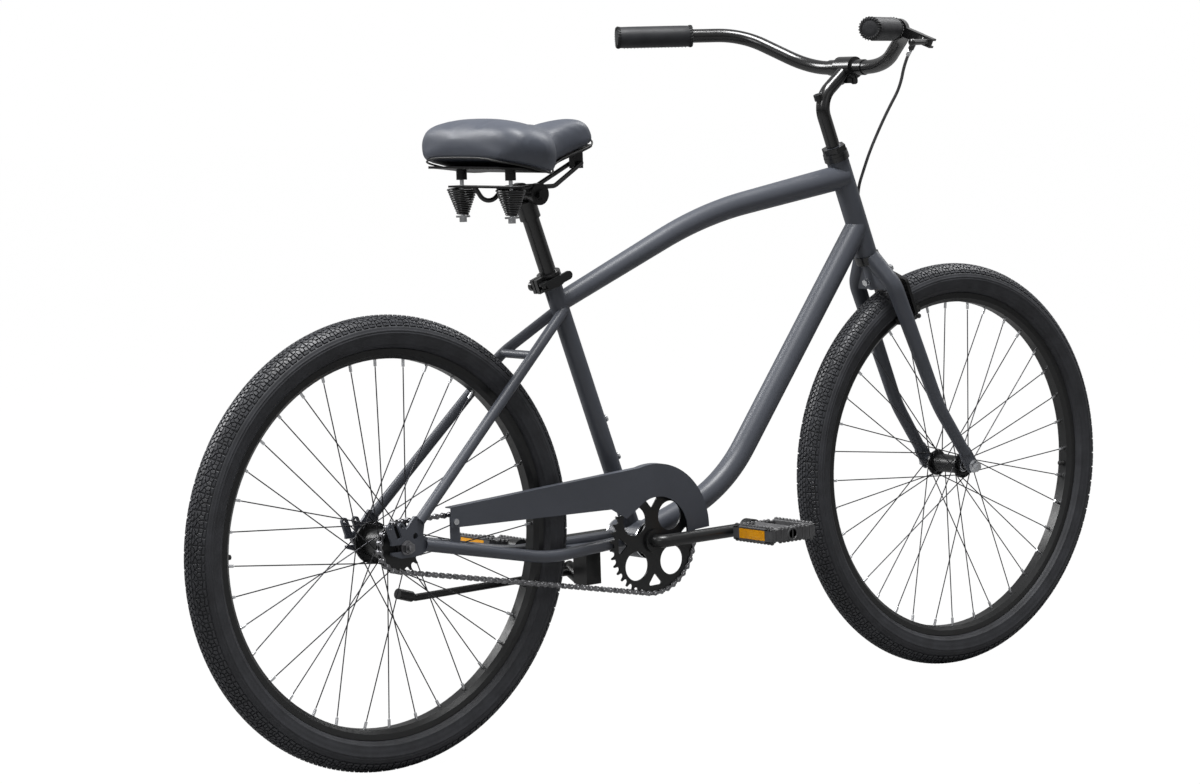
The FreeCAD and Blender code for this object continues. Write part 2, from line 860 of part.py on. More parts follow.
def make_bridges():
    """The bridge between the seatstays, and the plate that joins the chainstays behind the shell."""
    corner = V(seatstay_corner_x, 0, seatstay_corner_height)
    reach = V(0, seatstay_corner_side, 0)
    bridge = rod(corner - reach, corner + reach, bridge_radius)
    stays = [bent_rod(seatstay_route(side), [seatstay_bend], seatstay_radius) for side in (1, -1)]
    low = V(kickstand_pivot_x - bridge_plate_half, -chainstay_corner_side, bridge_plate_height)
    plate_top = bridge_plate_height + bridge_plate_gauge
    high = V(kickstand_pivot_x + bridge_plate_half, chainstay_corner_side, plate_top)
    slab = block(low, high)
    lower = [bent_rod(chainstay_route(side), [stay_bend], chainstay_radius) for side in (1, -1)]
    pieces = slab.cut(lower).Solids
    middle = [piece for piece in pieces if abs(piece.CenterOfMass.y) < chainstay_front_side / 2]
    return [bridge.cut(stays).Solids[0]] + middle


# Frame fittings

def make_headset_cup(face, outward):
    """A pressed cup at one end of the head tube, with its ring of balls."""
    insert_radius = head_tube_radius - head_tube_wall - fit_clearance
    rim = face + outward * cup_height
    inner = face - outward * cup_insert
    body = join([rod(face, rim, cup_radius), rod(inner, face, insert_radius)])
    bore = rod(inner, rim, steerer_radius + cup_bore_gap)
    recess = rod(rim - outward * cup_recess, rim, cup_recess_radius)
    ring_radius = cup_recess_radius - headset_ball_radius - fit_clearance
    ring_place = rim - outward * (cup_recess - headset_ball_radius - fit_clearance)
    ring = Part.makeTorus(ring_radius, headset_ball_radius, ring_place, outward)
    return [body.cut([bore, recess]), ring]


def make_bracket_cup(side):
    """A bearing cup pressed into one end of the bottom bracket shell, with its ring of balls."""
    outward = across * side
    face = crank_centre + outward * (shell_width / 2)
    rim = face + outward * bracket_cup_flange
    inner = face - outward * bracket_cup_insert
    insert_radius = shell_radius - shell_wall - fit_clearance
    body = join([rod(face, rim, shell_radius), rod(inner, face, insert_radius)])
    recess_floor = rim - outward * (2 * bracket_ball_radius + bracket_cup_flange)
    recess_radius = bracket_cup_bore + 2 * bracket_ball_radius
    recess = rod(recess_floor, rim, recess_radius + fit_clearance)
    ring_place = recess_floor + outward * (bracket_ball_radius + fit_clearance)
    ring = Part.makeTorus(bracket_cup_bore + bracket_ball_radius, bracket_ball_radius, ring_place, across)
    return [body.cut([rod(inner, rim, bracket_cup_bore), recess]), ring]


skewer_place = seat_tube_top + seat_direction * skewer_rise - seat_front * (
    seat_tube_radius + collar_wall + skewer_back
)
collar_radius = seat_tube_radius + collar_wall
ear_outside = collar_gap / 2 + ear_width
cam_place = skewer_place - across * (ear_outside + cam_radius + running_gap)


def make_seat_clamp():
    """A split collar round the seat tube's top with two ears, a skewer, its knob and the cam's pin."""
    low = seat_tube_top - seat_direction * collar_below
    high = seat_tube_top + seat_direction * collar_above
    ear_reach = collar_wall + skewer_back + ear_depth / 2
    inset = seat_front * (collar_radius - collar_wall)
    ear_points = [low - inset, high - inset]
    ear_points += [point - seat_front * ear_reach for point in reversed(ear_points)]
    shifted = [point - across * ear_outside for point in ear_points]
    ears = Part.Face(Part.makePolygon(shifted + shifted[:1])).extrude(across * (2 * ear_outside))
    gap_points = [point + seat_front * collar_wall * 2 for point in ear_points[:2]]
    gap_points += [point - seat_front * ear_reach for point in ear_points[2:]]
    shifted = [point - across * (collar_gap / 2) for point in gap_points]
    gap = Part.Face(Part.makePolygon(shifted + shifted[:1])).extrude(across * collar_gap)
    body = join([rod(low, high, collar_radius), ears])
    tube_bore = rod(low, seat_tube_top, seat_tube_radius + fit_clearance)
    post_bore = rod(low, high, post_radius + fit_clearance)
    far = across * (2 * ear_outside)
    hole = rod(skewer_place - far, skewer_place + far, skewer_radius + fit_clearance)
    collar = body.cut([tube_bore, post_bore, gap, hole])
    knob_start = skewer_place + across * ear_outside
    knob = rod(knob_start, knob_start + across * cam_radius, cam_radius)
    skewer = rod(cam_place, knob_start, skewer_radius)
    eye_half = seat_direction * (cam_eye_height / 2)
    eye = rod(cam_place - eye_half, cam_place + eye_half, cam_eye_radius)
    pin_half = seat_direction * (cam_height / 2)
    pin = rod(cam_place - pin_half, cam_place + pin_half, cam_pin_radius)
    return [collar, join([skewer, knob, eye, pin])]


def make_cam_lever():
    """The quick-release lever: two discs on the cam's pin and a flat handle that lies forward."""
    half = seat_direction * (cam_height / 2)
    eye_half = seat_direction * (cam_eye_height / 2 + running_gap)
    barrel = rod(cam_place - half, cam_place + half, cam_radius)
    handle_place = cam_place - across * cam_radius
    tip = handle_place + seat_front * cam_lever_length
    low = handle_place - half
    reach = seat_front * cam_lever_length
    corners = [low, low + half * 2, low + half * 2 + reach, low + reach]
    handle = Part.Face(Part.makePolygon(corners + corners[:1])).extrude(across * cam_lever_thickness)
    end = rod(tip, tip + across * cam_lever_thickness, cam_height / 2)
    pin_bore = rod(cam_place - half, cam_place + half, cam_pin_radius + fit_clearance)
    mouth = rod(cam_place - eye_half, cam_place + eye_half, cam_eye_radius + running_gap)
    window_start = cam_place - eye_half - seat_front * (2 * cam_radius)
    window_points = [window_start, window_start + eye_half * 2]
    window_points += [point + seat_front * (2 * cam_radius) for point in reversed(window_points)]
    lowered = [point - across * (2 * cam_radius) for point in window_points]
    window = Part.Face(Part.makePolygon(lowered + lowered[:1])).extrude(across * (4 * cam_radius))
    side_reach = seat_front * (skewer_radius + running_gap)
    side_points = [cam_place - eye_half - side_reach, cam_place + eye_half - side_reach]
    side_points += [point + side_reach * 2 for point in reversed(side_points)]
    side = Part.Face(Part.makePolygon(side_points + side_points[:1])).extrude(across * (2 * cam_radius))
    return join([barrel, handle, end]).cut([pin_bore, mouth, window, side])


def guard_point(back, rise):
    """A point of the chainguard's outer face, measured from the crank's centre."""
    return V(crank_centre.x - back, -guard_face, crank_centre.z + rise)


guard_rear_x = rear_axle_centre.x + guard_rear_reach
guard_arc_centre = guard_point(guard_arc_back, guard_arc_rise)
guard_mouth_centre = guard_point(0, guard_mouth_rise)
guard_screw_height = crank_centre.z + guard_heel_rise + guard_rear_bottom * 0.75
guard_screw = V(guard_rear_x + guard_tab_width / 2, -guard_face, guard_screw_height)


def guard_arc_point(centre, radius, angle):
    """A point on one of the guard's arcs."""
    turn = math.radians(angle)
    return centre + V(radius * math.cos(turn), 0, radius * math.sin(turn))


def make_chainguard():
    """A guard over the chain with an inward lip, a tab on the chainstay and a strap on the seat tube."""
    join_angle = math.degrees(math.acos(-(guard_join_back - guard_arc_back) / guard_arc))
    mouth_angle = 130.0
    rear_top = V(guard_rear_x, -guard_face, wheel_radius + guard_rear_top)
    rear_bottom = V(guard_rear_x, -guard_face, wheel_radius + guard_rear_bottom)
    join_point = guard_arc_point(guard_arc_centre, guard_arc, join_angle)
    nose = guard_arc_point(guard_arc_centre, guard_arc, 0)
    mouth_start = guard_arc_point(guard_mouth_centre, guard_mouth, 0)
    mouth_end = guard_arc_point(guard_mouth_centre, guard_mouth, mouth_angle)
    arc = Part.Arc(join_point, guard_arc_point(guard_arc_centre, guard_arc, join_angle / 2), nose).toShape()
    mouth_middle = guard_arc_point(guard_mouth_centre, guard_mouth, mouth_angle / 2)
    mouth = Part.Arc(mouth_start, mouth_middle, mouth_end).toShape()
    notch = guard_point(guard_notch_back, guard_notch_rise)
    heel = guard_point(guard_heel_back, guard_heel_rise)
    edges = Part.makePolygon([rear_top, join_point]).Edges + [arc]
    edges += Part.makePolygon([nose, mouth_start]).Edges + [mouth]
    edges += Part.makePolygon([mouth_end, notch, heel, rear_bottom, rear_top]).Edges
    sheet = Part.Face(Part.Wire(edges)).extrude(V(0, guard_gauge, 0))
    drop = V(0, 0, -guard_gauge)
    low_radius = guard_arc - guard_gauge
    low_nose = guard_arc_point(guard_arc_centre, low_radius, 0)
    low_join = guard_arc_point(guard_arc_centre, low_radius, join_angle)
    low_middle = guard_arc_point(guard_arc_centre, low_radius, join_angle / 2)
    low_arc = Part.Arc(low_nose, low_middle, low_join).toShape()
    lip_edges = Part.makePolygon([rear_top, join_point]).Edges + [arc]
    lip_edges += Part.makePolygon([nose, low_nose]).Edges + [low_arc]
    lip_edges += Part.makePolygon([low_join, rear_top + drop, rear_top]).Edges
    lip = Part.Face(Part.Wire(lip_edges)).extrude(V(0, guard_flange, 0))
    inside = -guard_face + guard_gauge
    tab_low = V(guard_rear_x, inside, guard_screw.z - guard_tab_height)
    tab_top = guard_screw.z + guard_tab_width / 2
    tab = block(tab_low, V(guard_rear_x + guard_tab_width, inside + guard_tab_gauge, tab_top))
    strap_centre = seat_at(join_point.z - guard_strap_drop)
    strap_half = guard_tab_width / 2
    strap = block(V(strap_centre.x - strap_half, inside, strap_centre.z - guard_tab_gauge),
                  V(strap_centre.x + strap_half, 0, strap_centre.z))
    hole_end = guard_screw + across * (2 * guard_tab_gauge)
    hole = rod(guard_screw - across, hole_end, screw_radius + fit_clearance)
    stay = bent_rod(chainstay_route(-1), [stay_bend], chainstay_radius)
    tab = tab.cut([stay, hole])
    return [join([sheet, lip, strap.cut(seat_solid())]).cut(hole), tab.Solids[-1]]


def make_frame_screws():
    """The bottle boss bolts, the guard's screw and the reaction arm's clip bolt."""
    shapes = []
    for start in boss_points():
        inner = start + seat_front * (post_radius + running_gap)
        outer = start + seat_front * (seat_tube_radius + boss_head_height / 2)
        head = rod(outer, outer + seat_front * boss_head_height, boss_head_radius)
        shapes.append(join([rod(inner, outer, boss_radius), head]))
    shank = rod(guard_screw, guard_screw + across * (guard_gauge + guard_tab_gauge), screw_radius)
    head = rod(guard_screw - across * screw_head_height, guard_screw, screw_head_radius)
    shapes.append(join([shank, head]))
    return shapes


def make_reaction_arm():
    """The hub brake's reaction arm, with its clip round the left chainstay."""
    start, corner, _ = chainstay_route(1)
    along = unit(corner - start)
    clip_place = start + along * (reaction_arm_length - dropout_chainstay_reach)
    outer = clip_place.y - chainstay_radius - 2 * running_gap
    y = outer - reaction_arm_thickness
    centre = V(rear_axle_centre.x, y, wheel_radius)
    tip = V(clip_place.x, y, clip_place.z)
    through = V(0, reaction_arm_thickness, 0)
    disc = rod(centre, centre + through, reaction_disc_radius)
    strip = capsule(centre, tip, reaction_arm_half_width, through)
    bore = rod(centre - through, centre + through * 2, cone_radius + fit_clearance)
    arm = join([disc, strip]).cut(bore)
    half = along * reaction_arm_half_width
    band_outside = chainstay_radius + clip_gauge
    band = pipe(clip_place - half, clip_place + half, band_outside, chainstay_radius + fit_clearance)
    head = hexagon(tip, tip - through, boss_head_radius)
    return [arm, band.cut(arm), head]


# Fork, stem and bar

fork_crown_top = head_bottom - steer_direction * (cup_height + running_gap + race_height)
fork_tip_side = front_hub_length / 2 + fork_tip_thickness / 2
stem_foot = head_top - steer_direction * quill_insert
stem_kink = steer_at(stem_kink_height)
bar_centre = V(bar_forward, 0, bar_height)


def steerer_solid():
    """The steerer's outside, for mitring the legs."""
    return rod(steer_at(crown_bottom_height), steerer_top, steerer_radius)


def fork_leg_route(side):
    """One leg's line from under the headset down to its tip."""
    points = [steer_at(fork_crown_height) + V(0, side * fork_crown_side, 0)]
    points.append(steer_at(fork_shoulder_height) + V(0, side * fork_shoulder_side, 0))
    points.append(V(front_axle_centre.x - fork_knee_x_reach, side * fork_knee_side, fork_knee_height))
    end = V(front_axle_centre.x - fork_leg_end_back, side * fork_tip_side, wheel_radius + fork_leg_end_rise)
    return points + [end]


def leg_solid(side):
    """One fork leg's outside."""
    bends = [fork_shoulder_bend, fork_knee_bend]
    return bent_taper(fork_leg_route(side), bends, fork_leg_top_radius, fork_leg_tip_radius)


def make_leg(side):
    """One hollow fork leg, mitred to the steerer and slotted over its tip."""
    bends = [fork_shoulder_bend, fork_knee_bend]
    radii = (fork_leg_top_radius - tube_gauge, fork_leg_tip_radius - tube_gauge)
    inside = bent_taper(fork_leg_route(side), bends, radii[0], radii[1])
    race = rod(fork_crown_top, head_bottom, cup_radius + running_gap)
    return leg_solid(side).cut([inside, steerer_solid(), race, make_fork_tip(side)])


def make_fork_tip(side):
    """One fork tip plate, open below for the axle."""
    y = side * fork_tip_side - fork_tip_thickness / 2
    through = V(0, fork_tip_thickness, 0)
    centre = V(front_axle_centre.x, y, wheel_radius)
    top = V(centre.x - fork_leg_end_back, y, wheel_radius + fork_leg_end_rise)
    body = capsule(centre, top, fork_tip_radius, through)
    slot = capsule(centre, centre - upward * fork_tip_slot, axle_radius + hole_clearance, through)
    return body.cut(slot)


def caliper_at(forward, y, rise):
    """A point in the brake caliper's own frame: ahead of the crown, to the left, and above the bolt."""
    return steer_at(caliper_height) + steer_forward * forward + across * y + steer_direction * rise


def make_steerer():
    """The steerer tube with the crown bridge between the legs, drilled for the caliper's bolt."""
    bridge = crown_block().cut([leg_solid(1), leg_solid(-1)]).Solids
    middle = min(bridge, key=lambda solid: abs(solid.CenterOfMass.y))
    bore = rod(steer_at(crown_bottom_height), steerer_top, quill_radius + fit_clearance)
    far = 3 * steerer_radius
    drill = rod(caliper_at(-far, 0, 0), caliper_at(far, 0, 0), caliper_bolt_radius + fit_clearance)
    return join([steerer_solid(), middle]).cut([bore, drill])


def make_races():
    """The crown race below the head tube, and the adjusting race and lock nut above it."""
    bore = rod(fork_crown_top, steerer_top, steerer_radius + fit_clearance)
    radius = cup_radius - running_gap
    crown_race = rod(fork_crown_top, fork_crown_top + steer_direction * race_height, radius)
    low = head_top + steer_direction * (cup_height + running_gap)
    middle = low + steer_direction * race_height
    cover = rod(low, middle, radius).cut(bore)
    return [crown_race.cut(bore), cover, hexagon(middle, steerer_top, radius).cut(bore)]


def make_stem():
    """The quill stem, bored for its expander bolt, with a split clamp for the bar."""
    body = bent_rod([stem_foot, stem_kink, bar_centre], [stem_bend], quill_radius)
    half = across * (stem_clamp_width / 2)
    clamp = rod(bar_centre - half, bar_centre + half, stem_clamp_radius)
    lug_half = stem_lug_width / 2
    lug_low = bar_centre - V(lug_half, lug_half, stem_lug_depth)
    lugs = block(lug_low, lug_low + V(stem_lug_width, stem_lug_width, stem_lug_depth))
    slit_low = bar_centre - V(stem_slit / 2, stem_clamp_width, 2 * stem_lug_depth)
    slit = block(slit_low, slit_low + V(stem_slit, 2 * stem_clamp_width, 2 * stem_lug_depth))
    bar_bore = rod(bar_centre - half * 2, bar_centre + half * 2, bar_centre_radius + fit_clearance)
    top = stem_kink + steer_direction * stem_bolt_head_rise
    bolt_bore = rod(stem_foot, top, stem_bore)
    counterbore = rod(stem_kink, top, stem_bolt_head + fit_clearance)
    nut_face = clamp_bolt_place() - V(lug_half, 0, 0)
    recess = rod(nut_face - V(stem_lug_depth, 0, 0), nut_face, caliper_nut_radius + running_gap)
    return join([body, clamp, lugs]).cut([slit, bar_bore, bolt_bore, counterbore, recess, clamp_bolt_hole()])


def clamp_bolt_place():
    """The middle of the bar clamp's bolt."""
    return bar_centre - V(0, 0, (stem_clamp_radius + stem_lug_depth) / 2)


def clamp_bolt_hole():
    """The hole for the bar clamp's bolt."""
    reach = V(stem_lug_width, 0, 0)
    return rod(clamp_bolt_place() - reach, clamp_bolt_place() + reach, clamp_bolt_radius + fit_clearance)


def make_fork_bolts():
    """The stem's expander bolt and wedge, the bar clamp's bolt and nut, and the caliper's bolt and nuts."""
    head = rod(stem_kink, stem_kink + steer_direction * (stem_bolt_head_rise - running_gap), stem_bolt_head)
    wedge_top = stem_foot - steer_direction * running_gap
    wedge_low = wedge_top - steer_direction * wedge_length
    expander = join([rod(wedge_low, stem_kink, stem_bolt_radius), head])
    wedge = pipe(wedge_low, wedge_top, quill_radius, stem_bolt_radius + fit_clearance)
    place = clamp_bolt_place()
    reach = V(stem_lug_width / 2, 0, 0)
    nut = V(caliper_nut_height, 0, 0)
    clamp_bolt = join([rod(place - reach - nut, place + reach, clamp_bolt_radius),
                       rod(place + reach, place + reach + nut, caliper_nut_radius)])
    clamp_nut = hexagon(place - reach - nut, place - reach, caliper_nut_radius)
    clamp_nut = clamp_nut.cut(rod(place - reach - nut, place, clamp_bolt_radius + fit_clearance))
    front = caliper_forward + 2 * caliper_thickness + 2 * caliper_gap
    end = front + caliper_nut_height
    back = -caliper_bolt_back
    shank = rod(caliper_at(back, 0, 0), caliper_at(end, 0, 0), caliper_bolt_radius)
    back_face = caliper_at(back, 0, 0)
    rear_nut = hexagon(caliper_at(back - caliper_nut_height, 0, 0), back_face, caliper_nut_radius)
    front_nut = hexagon(caliper_at(front, 0, 0), caliper_at(end, 0, 0), caliper_nut_radius)
    caliper_bolt = join([shank, rear_nut, front_nut])
    spacer = pipe(caliper_at(0, 0, 0), caliper_at(caliper_forward - caliper_gap, 0, 0),
                  caliper_nut_radius, caliper_bolt_radius + fit_clearance)
    rear_spacer = pipe(caliper_at(back, 0, 0), caliper_at(0, 0, 0), caliper_nut_radius,
                       caliper_bolt_radius + fit_clearance)
    crown = join([steerer_solid(), crown_block()])
    return [expander, wedge, clamp_bolt, clamp_nut, caliper_bolt, spacer.cut(crown), rear_spacer.cut(crown)]


def crown_block():
    """The crown bridge's outside."""
    bottom = steer_at(crown_bottom_height)
    top = steer_at(crown_top_height)
    reach = steer_forward * crown_half_thickness
    corners = [bottom - reach, bottom + reach, top + reach, top - reach]
    shifted = [corner - across * crown_half_width for corner in corners]
    return Part.Face(Part.makePolygon(shifted + shifted[:1])).extrude(across * (2 * crown_half_width))


def bar_points():
    """The handlebar's line from its right end to its left end."""
    half = [bar_centre + V(-bar_end_back, bar_end_side, bar_end_rise)]
    half.append(bar_centre + V(-bar_rise_back, bar_rise_side, bar_rise))
    half.append(bar_centre + V(0, bar_low_side, 0))
    return [V(point.x, -point.y, point.z) for point in half] + list(reversed(half))


def make_handlebar():
    """The swept-back handlebar with a thicker sleeve in the stem's clamp."""
    bends = [bar_bend_high, bar_bend_low, bar_bend_low, bar_bend_high]
    outside = bent_rod(bar_points(), bends, bar_radius)
    inside = bent_rod(bar_points(), bends, bar_radius - bar_wall)
    sleeve_half = across * bar_sleeve_half
    sleeve = rod(bar_centre - sleeve_half, bar_centre + sleeve_half, bar_centre_radius)
    return join([outside, sleeve]).cut(inside)


def bar_end(side):
    """One end of the bar and its outward direction."""
    points = bar_points() if side < 0 else list(reversed(bar_points()))
    return points[0], unit(points[0] - points[1])


def make_grip(side):
    """A grip sleeve with a closed, rounded end."""
    end, along = bar_end(side)
    outside = rod(end - along * grip_length, end + along * grip_end, grip_radius)
    outer_edges = [edge for edge in outside.Edges if edge.Closed]
    rounded = outside.makeFillet(grip_end, outer_edges)
    return rounded.cut(rod(end - along * grip_length, end, bar_radius + fit_clearance))


# Brake

def perch_at(along, offset, side):
    """A point in the lever's own frame on the right half of the bar."""
    end, outward = bar_end(-1)
    level = unit(upward.cross(outward))
    tilt = math.radians(lever_tilt)
    lean = level * math.cos(tilt) - upward * math.sin(tilt)
    square = unit(outward.cross(lean))
    return end - outward * perch_distance + outward * along + lean * offset + square * side


def perch_block(low, high):
    """A box in the lever's own frame."""
    corners = [perch_at(low[0], low[1], low[2]), perch_at(high[0], low[1], low[2])]
    corners += [perch_at(high[0], high[1], low[2]), perch_at(low[0], high[1], low[2])]
    rise = perch_at(low[0], low[1], high[2]) - corners[0]
    return Part.Face(Part.makePolygon(corners + corners[:1])).extrude(rise)


def make_perch():
    """The lever's clamp on the bar with two cheeks, the lever's pin, and the cable's barrel."""
    half_width = perch_width / 2
    ring = rod(perch_at(-half_width, 0, 0), perch_at(half_width, 0, 0), perch_radius)
    thick = perch_half_thickness
    tip = lever_pivot_offset + lever_boss_radius
    body = perch_block((-perch_back, 0, -thick), (perch_front, tip, thick))
    gap = lever_half_thickness + running_gap
    mouth = perch_block((-2 * perch_back, perch_root, -gap), (2 * perch_front, 2 * tip, gap))
    corner = perch_block((-2 * perch_back, perch_root, -2 * thick), (-perch_front, 2 * tip, 2 * thick))
    bore = rod(perch_at(-2 * half_width, 0, 0), perch_at(2 * half_width, 0, 0), bar_radius + fit_clearance)
    barrel = rod(barrel_start(), barrel_end(), barrel_radius)
    pin = rod(perch_at(lever_pivot_along, lever_pivot_offset, -thick),
              perch_at(lever_pivot_along, lever_pivot_offset, thick), lever_pin_radius)
    return join([join([ring, body]).cut([mouth, corner]), barrel, pin]).cut(bore)


barrel_direction = unit(V(5, 62, -78))


def barrel_start():
    """Where the cable's barrel leaves the perch."""
    return perch_at(barrel_along, barrel_offset, 0)


def barrel_end():
    """The barrel's far end, where the cable enters it."""
    return barrel_start() + barrel_direction * barrel_length


def make_lever():
    """The brake lever: a boss on its pin, a blade along the grip and a ball end."""
    place = (lever_pivot_along, lever_pivot_offset)
    boss = rod(perch_at(place[0], place[1], -lever_half_thickness),
               perch_at(place[0], place[1], lever_half_thickness), lever_boss_radius)
    start = perch_at(place[0], place[1], 0)
    tip = perch_at(place[0] + lever_length, place[1] + lever_tip_rise, 0)
    blade = rod(start, tip, lever_blade_radius)
    front = perch_front + 1
    far = 2 * lever_length
    thick = 2 * perch_half_thickness
    cheeks = perch_block((-perch_back, 0, -thick), (front, far, -lever_half_thickness))
    other = perch_block((-perch_back, 0, lever_half_thickness), (front, far, thick))
    ball = Part.makeSphere(lever_tip_radius, tip)
    hole = rod(perch_at(place[0], place[1], -perch_back), perch_at(place[0], place[1], perch_back),
               lever_pin_radius + fit_clearance)
    return join([boss, blade, ball]).cut([hole, cheeks, other])


cable_points = [
    V(311, -180, 966),
    V(320, -145, 934),
    V(333, -110, 904),
    V(349, -68, 865),
    V(368, -32, 833),
    V(388, 4, 802),
    V(404, 22, 764),
]


def cable_route():
    """The brake cable's points from the lever's barrel to the caliper's stop, and each inner bend."""
    end = caliper_at(left_arm_middle, cable_stop_side, cable_stop_high + cable_stop_gap)
    points = [barrel_end(), barrel_end() + barrel_direction * cable_lead] + cable_points
    points += [end + steer_direction * cable_lead, end]
    bends = []
    for before, corner, after in zip(points, points[1:], points[2:]):
        shorter = min(before.distanceToPoint(corner), corner.distanceToPoint(after))
        turn = (corner - before).getAngle(after - corner)
        bends.append(0.45 * shorter / math.tan(turn / 2))
    return points, bends


left_arm_back = caliper_forward + caliper_thickness + caliper_gap
left_arm_middle = left_arm_back + caliper_thickness / 2


def make_cable():
    """The cable's casing, and its bare wire from the stop down to the anchor."""
    points, bends = cable_route()
    print("cable bend radii", [round(bend) for bend in bends])
    casing = bent_rod(points, bends, cable_radius)
    length = route(points, bends).Length
    share = casing.Volume / (math.pi * cable_radius ** 2 * length)
    print("cable volume against section times length", round(share, 4))
    low = anchor_rise + anchor_radius + cable_stop_gap
    wire = rod(points[-1], caliper_at(left_arm_middle, cable_stop_side, low), wire_radius)
    return [casing, wire]


def make_caliper_arm(side):
    """One arm of the side-pull caliper: round the tyre to its pad, and across to its end of the cable."""
    back = left_arm_back if side > 0 else caliper_forward
    through = steer_forward * caliper_thickness
    spots = [(0, 0), (side * caliper_half_width, -caliper_shoulder_drop)]
    spots += [(side * caliper_half_width, -caliper_knee_drop), (side * caliper_half_width, -caliper_drop)]
    points = [caliper_at(back, y, rise) for y, rise in spots]
    bars = [capsule(first, last, caliper_bar_radius, through) for first, last in zip(points, points[1:])]
    rise = (cable_stop_low + caliper_bar_radius) if side > 0 else anchor_rise
    bars.append(capsule(points[0], caliper_at(back, cable_stop_side, rise), caliper_bar_radius, through))
    middle = back + caliper_thickness / 2
    if side > 0:
        low = caliper_at(middle, cable_stop_side, cable_stop_low)
        high = caliper_at(middle, cable_stop_side, cable_stop_high)
        bars.append(rod(low, high, cable_stop_radius))
        wire_bore = rod(low - steer_direction * cable_stop_low, high, cable_stop_bore)
    else:
        start = caliper_at(back - running_gap, cable_stop_side, anchor_rise)
        bars.append(rod(start, start + steer_forward * (2.5 * caliper_thickness), anchor_radius))
    far = V(0, 4 * caliper_bar_radius, 0)
    foot = caliper_at(middle, side * caliper_half_width, -caliper_drop)
    cuts = [rod(foot - far, foot + far, pad_stud_radius + fit_clearance)]
    cuts.append(rod(points[0] - through, points[0] + through * 2, caliper_bolt_radius + fit_clearance))
    if side > 0:
        cuts.append(wire_bore)
    return join(bars).cut(cuts)


def make_pad(side):
    """A brake pad along the rim, and the stud and nut that hold it to its arm."""
    back = left_arm_back if side > 0 else caliper_forward
    foot = caliper_at(back + caliper_thickness / 2, 0, -caliper_drop)
    outward = unit(foot - front_axle_centre)
    along = V(-outward.z, 0, outward.x)
    face = rim_width / 2 + pad_gap
    half = along * (pad_length / 2)
    rise = outward * (pad_height / 2)
    start = foot + across * (side * face)
    corners = [start - half - rise, start + half - rise, start + half + rise, start - half + rise]
    pad = Part.Face(Part.makePolygon(corners + corners[:1])).extrude(across * (side * pad_thickness))
    stud_end = caliper_half_width + caliper_bar_radius + pad_nut_height
    outside = caliper_half_width + caliper_bar_radius + running_gap
    away = across * side
    stud = rod(foot + away * (face + pad_thickness), foot + away * stud_end, pad_stud_radius)
    nut = hexagon(foot + away * outside, foot + away * (outside + pad_nut_height), anchor_radius)
    return [pad, join([stud, nut])]


# Drive

def pitch_radius(teeth):
    """The radius of the circle through the chain's rollers on a sprocket."""
    return chain_pitch / (2 * math.sin(math.pi / teeth))


def chain_plan():
    """The rollers' places round both sprockets, in order, and the phase of each sprocket's teeth.

    The path is counted in pitches: each arc by its sprocket's teeth, and the two straight runs share what
    is left, so that the rollers sit in the tooth gaps and the count is even.
    """
    big = pitch_radius(ring_teeth)
    small = pitch_radius(sprocket_teeth)
    line = crank_centre - rear_axle_centre
    distance = line.Length
    tilt = math.asin((big - small) / distance)
    heading = math.atan2(line.z, line.x)
    ring_pitches = ring_teeth * (math.pi + 2 * tilt) / (2 * math.pi)
    sprocket_pitches = sprocket_teeth * (math.pi - 2 * tilt) / (2 * math.pi)
    run = math.sqrt(distance ** 2 - (big - small) ** 2)
    count = 2 * round((ring_pitches + sprocket_pitches + 2 * run / chain_pitch) / 2)
    run_pitches = (count - ring_pitches - sprocket_pitches) / 2
    top_angle = heading + math.pi / 2 + tilt
    bottom_angle = heading - math.pi / 2 - tilt

    def at(centre, radius, angle):
        return centre + V(radius * math.cos(angle), -chain_line, radius * math.sin(angle))

    places = []
    for number in range(count):
        if number <= ring_pitches:
            angle = top_angle - number * 2 * math.pi / ring_teeth
            places.append(at(crank_centre, big, angle))
        elif number <= ring_pitches + run_pitches:
            share = (number - ring_pitches) / run_pitches
            start = at(crank_centre, big, bottom_angle)
            places.append(start + (at(rear_axle_centre, small, bottom_angle) - start) * share)
        elif number <= ring_pitches + run_pitches + sprocket_pitches:
            step = number - ring_pitches - run_pitches
            places.append(at(rear_axle_centre, small, bottom_angle - step * 2 * math.pi / sprocket_teeth))
        else:
            share = (number - ring_pitches - run_pitches - sprocket_pitches) / run_pitches
            start = at(rear_axle_centre, small, top_angle)
            places.append(start + (at(crank_centre, big, top_angle) - start) * share)
    first_step = math.ceil(ring_pitches + run_pitches) - ring_pitches - run_pitches
    sprocket_phase = bottom_angle - first_step * 2 * math.pi / sprocket_teeth
    return places, top_angle, sprocket_phase


def link_plates(inner):
    """One chain link along X from the origin: two plates with their pins or rollers."""
    low = link_inner_half if inner else link_inner_half + link_plate + link_side_gap
    ends = [V(0, 0, 0), V(chain_pitch, 0, 0)]
    plates = []
    for y in (low, -low - link_plate):
        shift = V(0, y, 0)
        plates.append(capsule(ends[0] + shift, ends[1] + shift, link_half_height, V(0, link_plate, 0)))
    if inner:
        reach = V(0, low + link_plate, 0)
        rollers = [rod(end - V(0, low, 0), end + V(0, low, 0), roller_radius) for end in ends]
        holes = [rod(end - reach, end + reach, link_pin_radius + link_pin_clearance) for end in ends]
        return join(plates + rollers).cut(holes)
    reach = V(0, low + link_plate + link_pin_end, 0)
    pins = [rod(end - reach, end + reach, link_pin_radius) for end in ends]
    return join(plates + pins)


